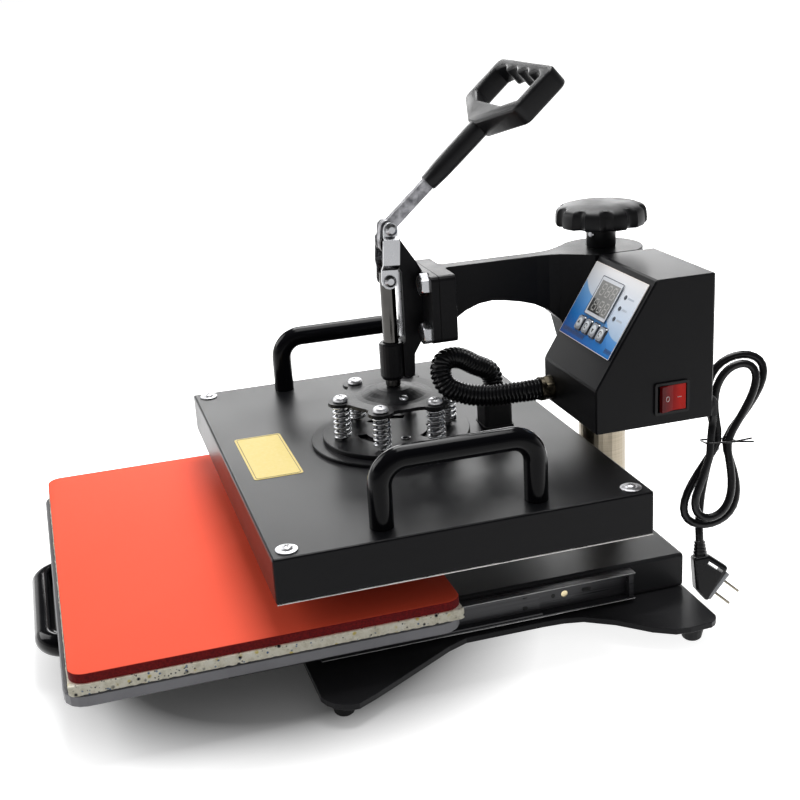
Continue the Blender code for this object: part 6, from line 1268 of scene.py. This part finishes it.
def arrow(x, y, way):
    size = 0.0024 * way
    points = ((0.0, 1.0), (-0.85, -0.5), (0.0, -0.2), (0.85, -0.5))
    return [(x + size * across, y + size * up) for across, up in points]


def ring_mark(x, y):
    return arc(x, y, 0.0024, 0.0, 300.0, 20) + arc(x, y, 0.0016, 300.0, 0.0, 20)


def make_keys():
    dome = [(0.0, 0.0005), (0.0026, 0.00045), (0.0038, 0.0002), (0.0042, -0.0001), (0.0, -0.0001)]
    y = 0.0407
    for index in range(4):
        number = index + 1
        button = f"button_{number}"
        x = 0.0310 + 0.0134 * index
        low = (x - 0.0058, y - 0.0066)
        high = (x + 0.0058, y + 0.0066)
        rim = rounded_rectangle(low, high, 0.0018, 5)
        outlined(f"key_outline_{number}", rim, PANEL_FACE + 0.0001, 0.00030, SLATE)
        cap = rounded_rectangle(*inset(low, high, 0.0009), 0.0016, 5)
        plate(f"key_cap_{number}", cap, KEY_TOP - 0.0001, KEY_TOP + 0.0003, SLANT, button, SILVER, 0.0002, 2)
        spot = SLANT @ Vector((x, y, KEY_TOP + 0.0003))
        turned(f"key_dome_{number}", dome, facing(spot, SLANT_AIM), button, WHITE_KEY, 36)
        mark = (arrow(x, y, 1.0), ring_mark(x, y), arrow(x, y, -1.0), ring_mark(x, y))[index]
        printed(f"key_mark_{number}", [mark], KEY_TOP + 0.00078, 0.00006, INK_AND_REFLECTION, button)


make_face()
make_display()
make_panel_lamps()
make_hatch()
make_keys()


# Rocker's marks
def make_rocker_marks():
    thin, thick = 0.0018, 0.0034
    axis = Vector((CASE_RIGHT_X - 0.0025, CASE_FRONT_Y + 0.0658 + SHIFT_Y, CASE_BOTTOM + 0.0224))
    turn = Matrix.Translation(axis) @ Matrix.Rotation(math.radians(9.0), 4, "Z")
    lean = math.atan2(thick - thin, 0.0114)
    ring_frame, bar_frame = (turn @ Matrix.Translation((0.0025 + (thick + thin) / 2.0, side * 0.0057, 0.0))
                             @ Matrix.Rotation(-side * lean, 4, "Z") for side in (-1.0, 1.0))
    path = [ring_frame @ Vector((0.0001, 0.0017 * x, 0.0021 * y)) for x, y in circle(0.0, 0.0, 1.0, 24)]
    tube("rocker_ring", path, 0.00028, 6, "rocker", MARK, closed=True)
    low, high = (-0.0001, -0.0018, -0.00025), (0.0003, 0.0018, 0.00025)
    block("rocker_bar", low, high, bar_frame, "rocker", MARK, 0.0001)


make_rocker_marks()


# Floor and light
def seen_directly(f, names):
    """One for rays of the named kinds, else zero."""
    either = 0.0
    for name in names:
        either = f.math("MAXIMUM", either, f.node("ShaderNodeLightPath", name, {}))
    return either


def make_floor():
    def build(shape):
        bmesh.ops.create_grid(shape, x_segments=1, y_segments=1, size=WORLD_SIZE)

    f = Finish("floor_white", (0.40, 0.40, 0.40), 0.95, specular=0.05)
    floor = add("floor", built("floor", build), None, f.material, None)
    floor.location.z = -0.0001
    # The floor's own brightness is low round a spot under the drawer and rises away from it: a painted
    # shadow.
    middle = tuple(at(0.05, -0.13, 0.0))
    reach = f.node("ShaderNodeVectorMath", "Value", {0: f.where, 1: middle}, operation="DISTANCE")
    near = f.grey(reach, 0.02, 0.82, 0.130, 0.225)
    far = f.grey(reach, 0.0, 0.18, 0.225, 0.70)
    bright = f.node("ShaderNodeEmission", 0, {"Strength": f.math("ADD", near, far)})
    dim = f.node("ShaderNodeBsdfDiffuse", 0, {"Color": (0.68, 0.68, 0.68)})
    both = f.node("ShaderNodeAddShader", 0, {0: bright, 1: dim})
    direct = seen_directly(f, ("Is Camera Ray", "Is Transmission Ray", "Is Glossy Ray"))
    mixed = f.node("ShaderNodeMixShader", 0, {0: direct, 1: f.shader.outputs[0], 2: both})
    f.put(f.tree.nodes["Material Output"].inputs["Surface"], mixed)


def make_world():
    """White to the eye; reflections see the white backdrop low behind the object and a dimmer room above."""
    world = bpy.data.worlds.new("studio")
    world.use_nodes = True
    f = Nodes(world.node_tree)
    direction = f.node("ShaderNodeTexCoord", "Generated", {})
    x, _, z = f.axes(direction)
    backdrop = f.math("MULTIPLY", f.grey(z, 1.0, 0.05, 0.20, 0.36, interpolation_type="SMOOTHSTEP"),
                      f.grey(x, 1.0, 0.35, -0.10, 0.60, interpolation_type="SMOOTHSTEP"))
    glossy = f.node("ShaderNodeLightPath", "Is Glossy Ray", {})
    indirect = f.node("ShaderNodeMix", 0, {0: glossy, 2: 0.40, 3: backdrop})
    direct = seen_directly(f, ("Is Camera Ray", "Is Transmission Ray"))
    back = f.tree.nodes["Background"]
    f.put(back.inputs["Color"], (1.0, 1.0, 1.0))
    f.put(back.inputs["Strength"], f.node("ShaderNodeMix", 0, {0: direct, 2: indirect, 3: 1.0}))
    bpy.context.scene.world = world


def make_lamps():
    target = Vector((0.0, 0.0, 0.12))
    lamps = (("key", (-1.1, 0.35, 1.75), 1.1, 1.1, 27.0), ("top", (0.0, 0.30, 1.9), 0.9, 0.9, 18.0),
             ("front", (-1.1, -1.5, 1.25), 1.2, 1.2, 18.0), ("low", (-2.3, 0.65, 0.88), 1.9, 0.5, 15.0))
    for name, place, size, height, power in lamps:
        data = bpy.data.lights.new(name, "AREA")
        data.shape = "RECTANGLE"
        data.size = size
        data.size_y = height
        data.energy = power
        lamp = bpy.data.objects.new(name, data)
        bpy.context.scene.collection.objects.link(lamp)
        lamp.location = place
        lamp.visible_camera = False
        lamp.rotation_euler = (target - Vector(place)).to_track_quat("-Z", "Y").to_euler()


make_floor()
make_world()
make_lamps()
bpy.context.scene.view_settings.view_transform = "Standard"
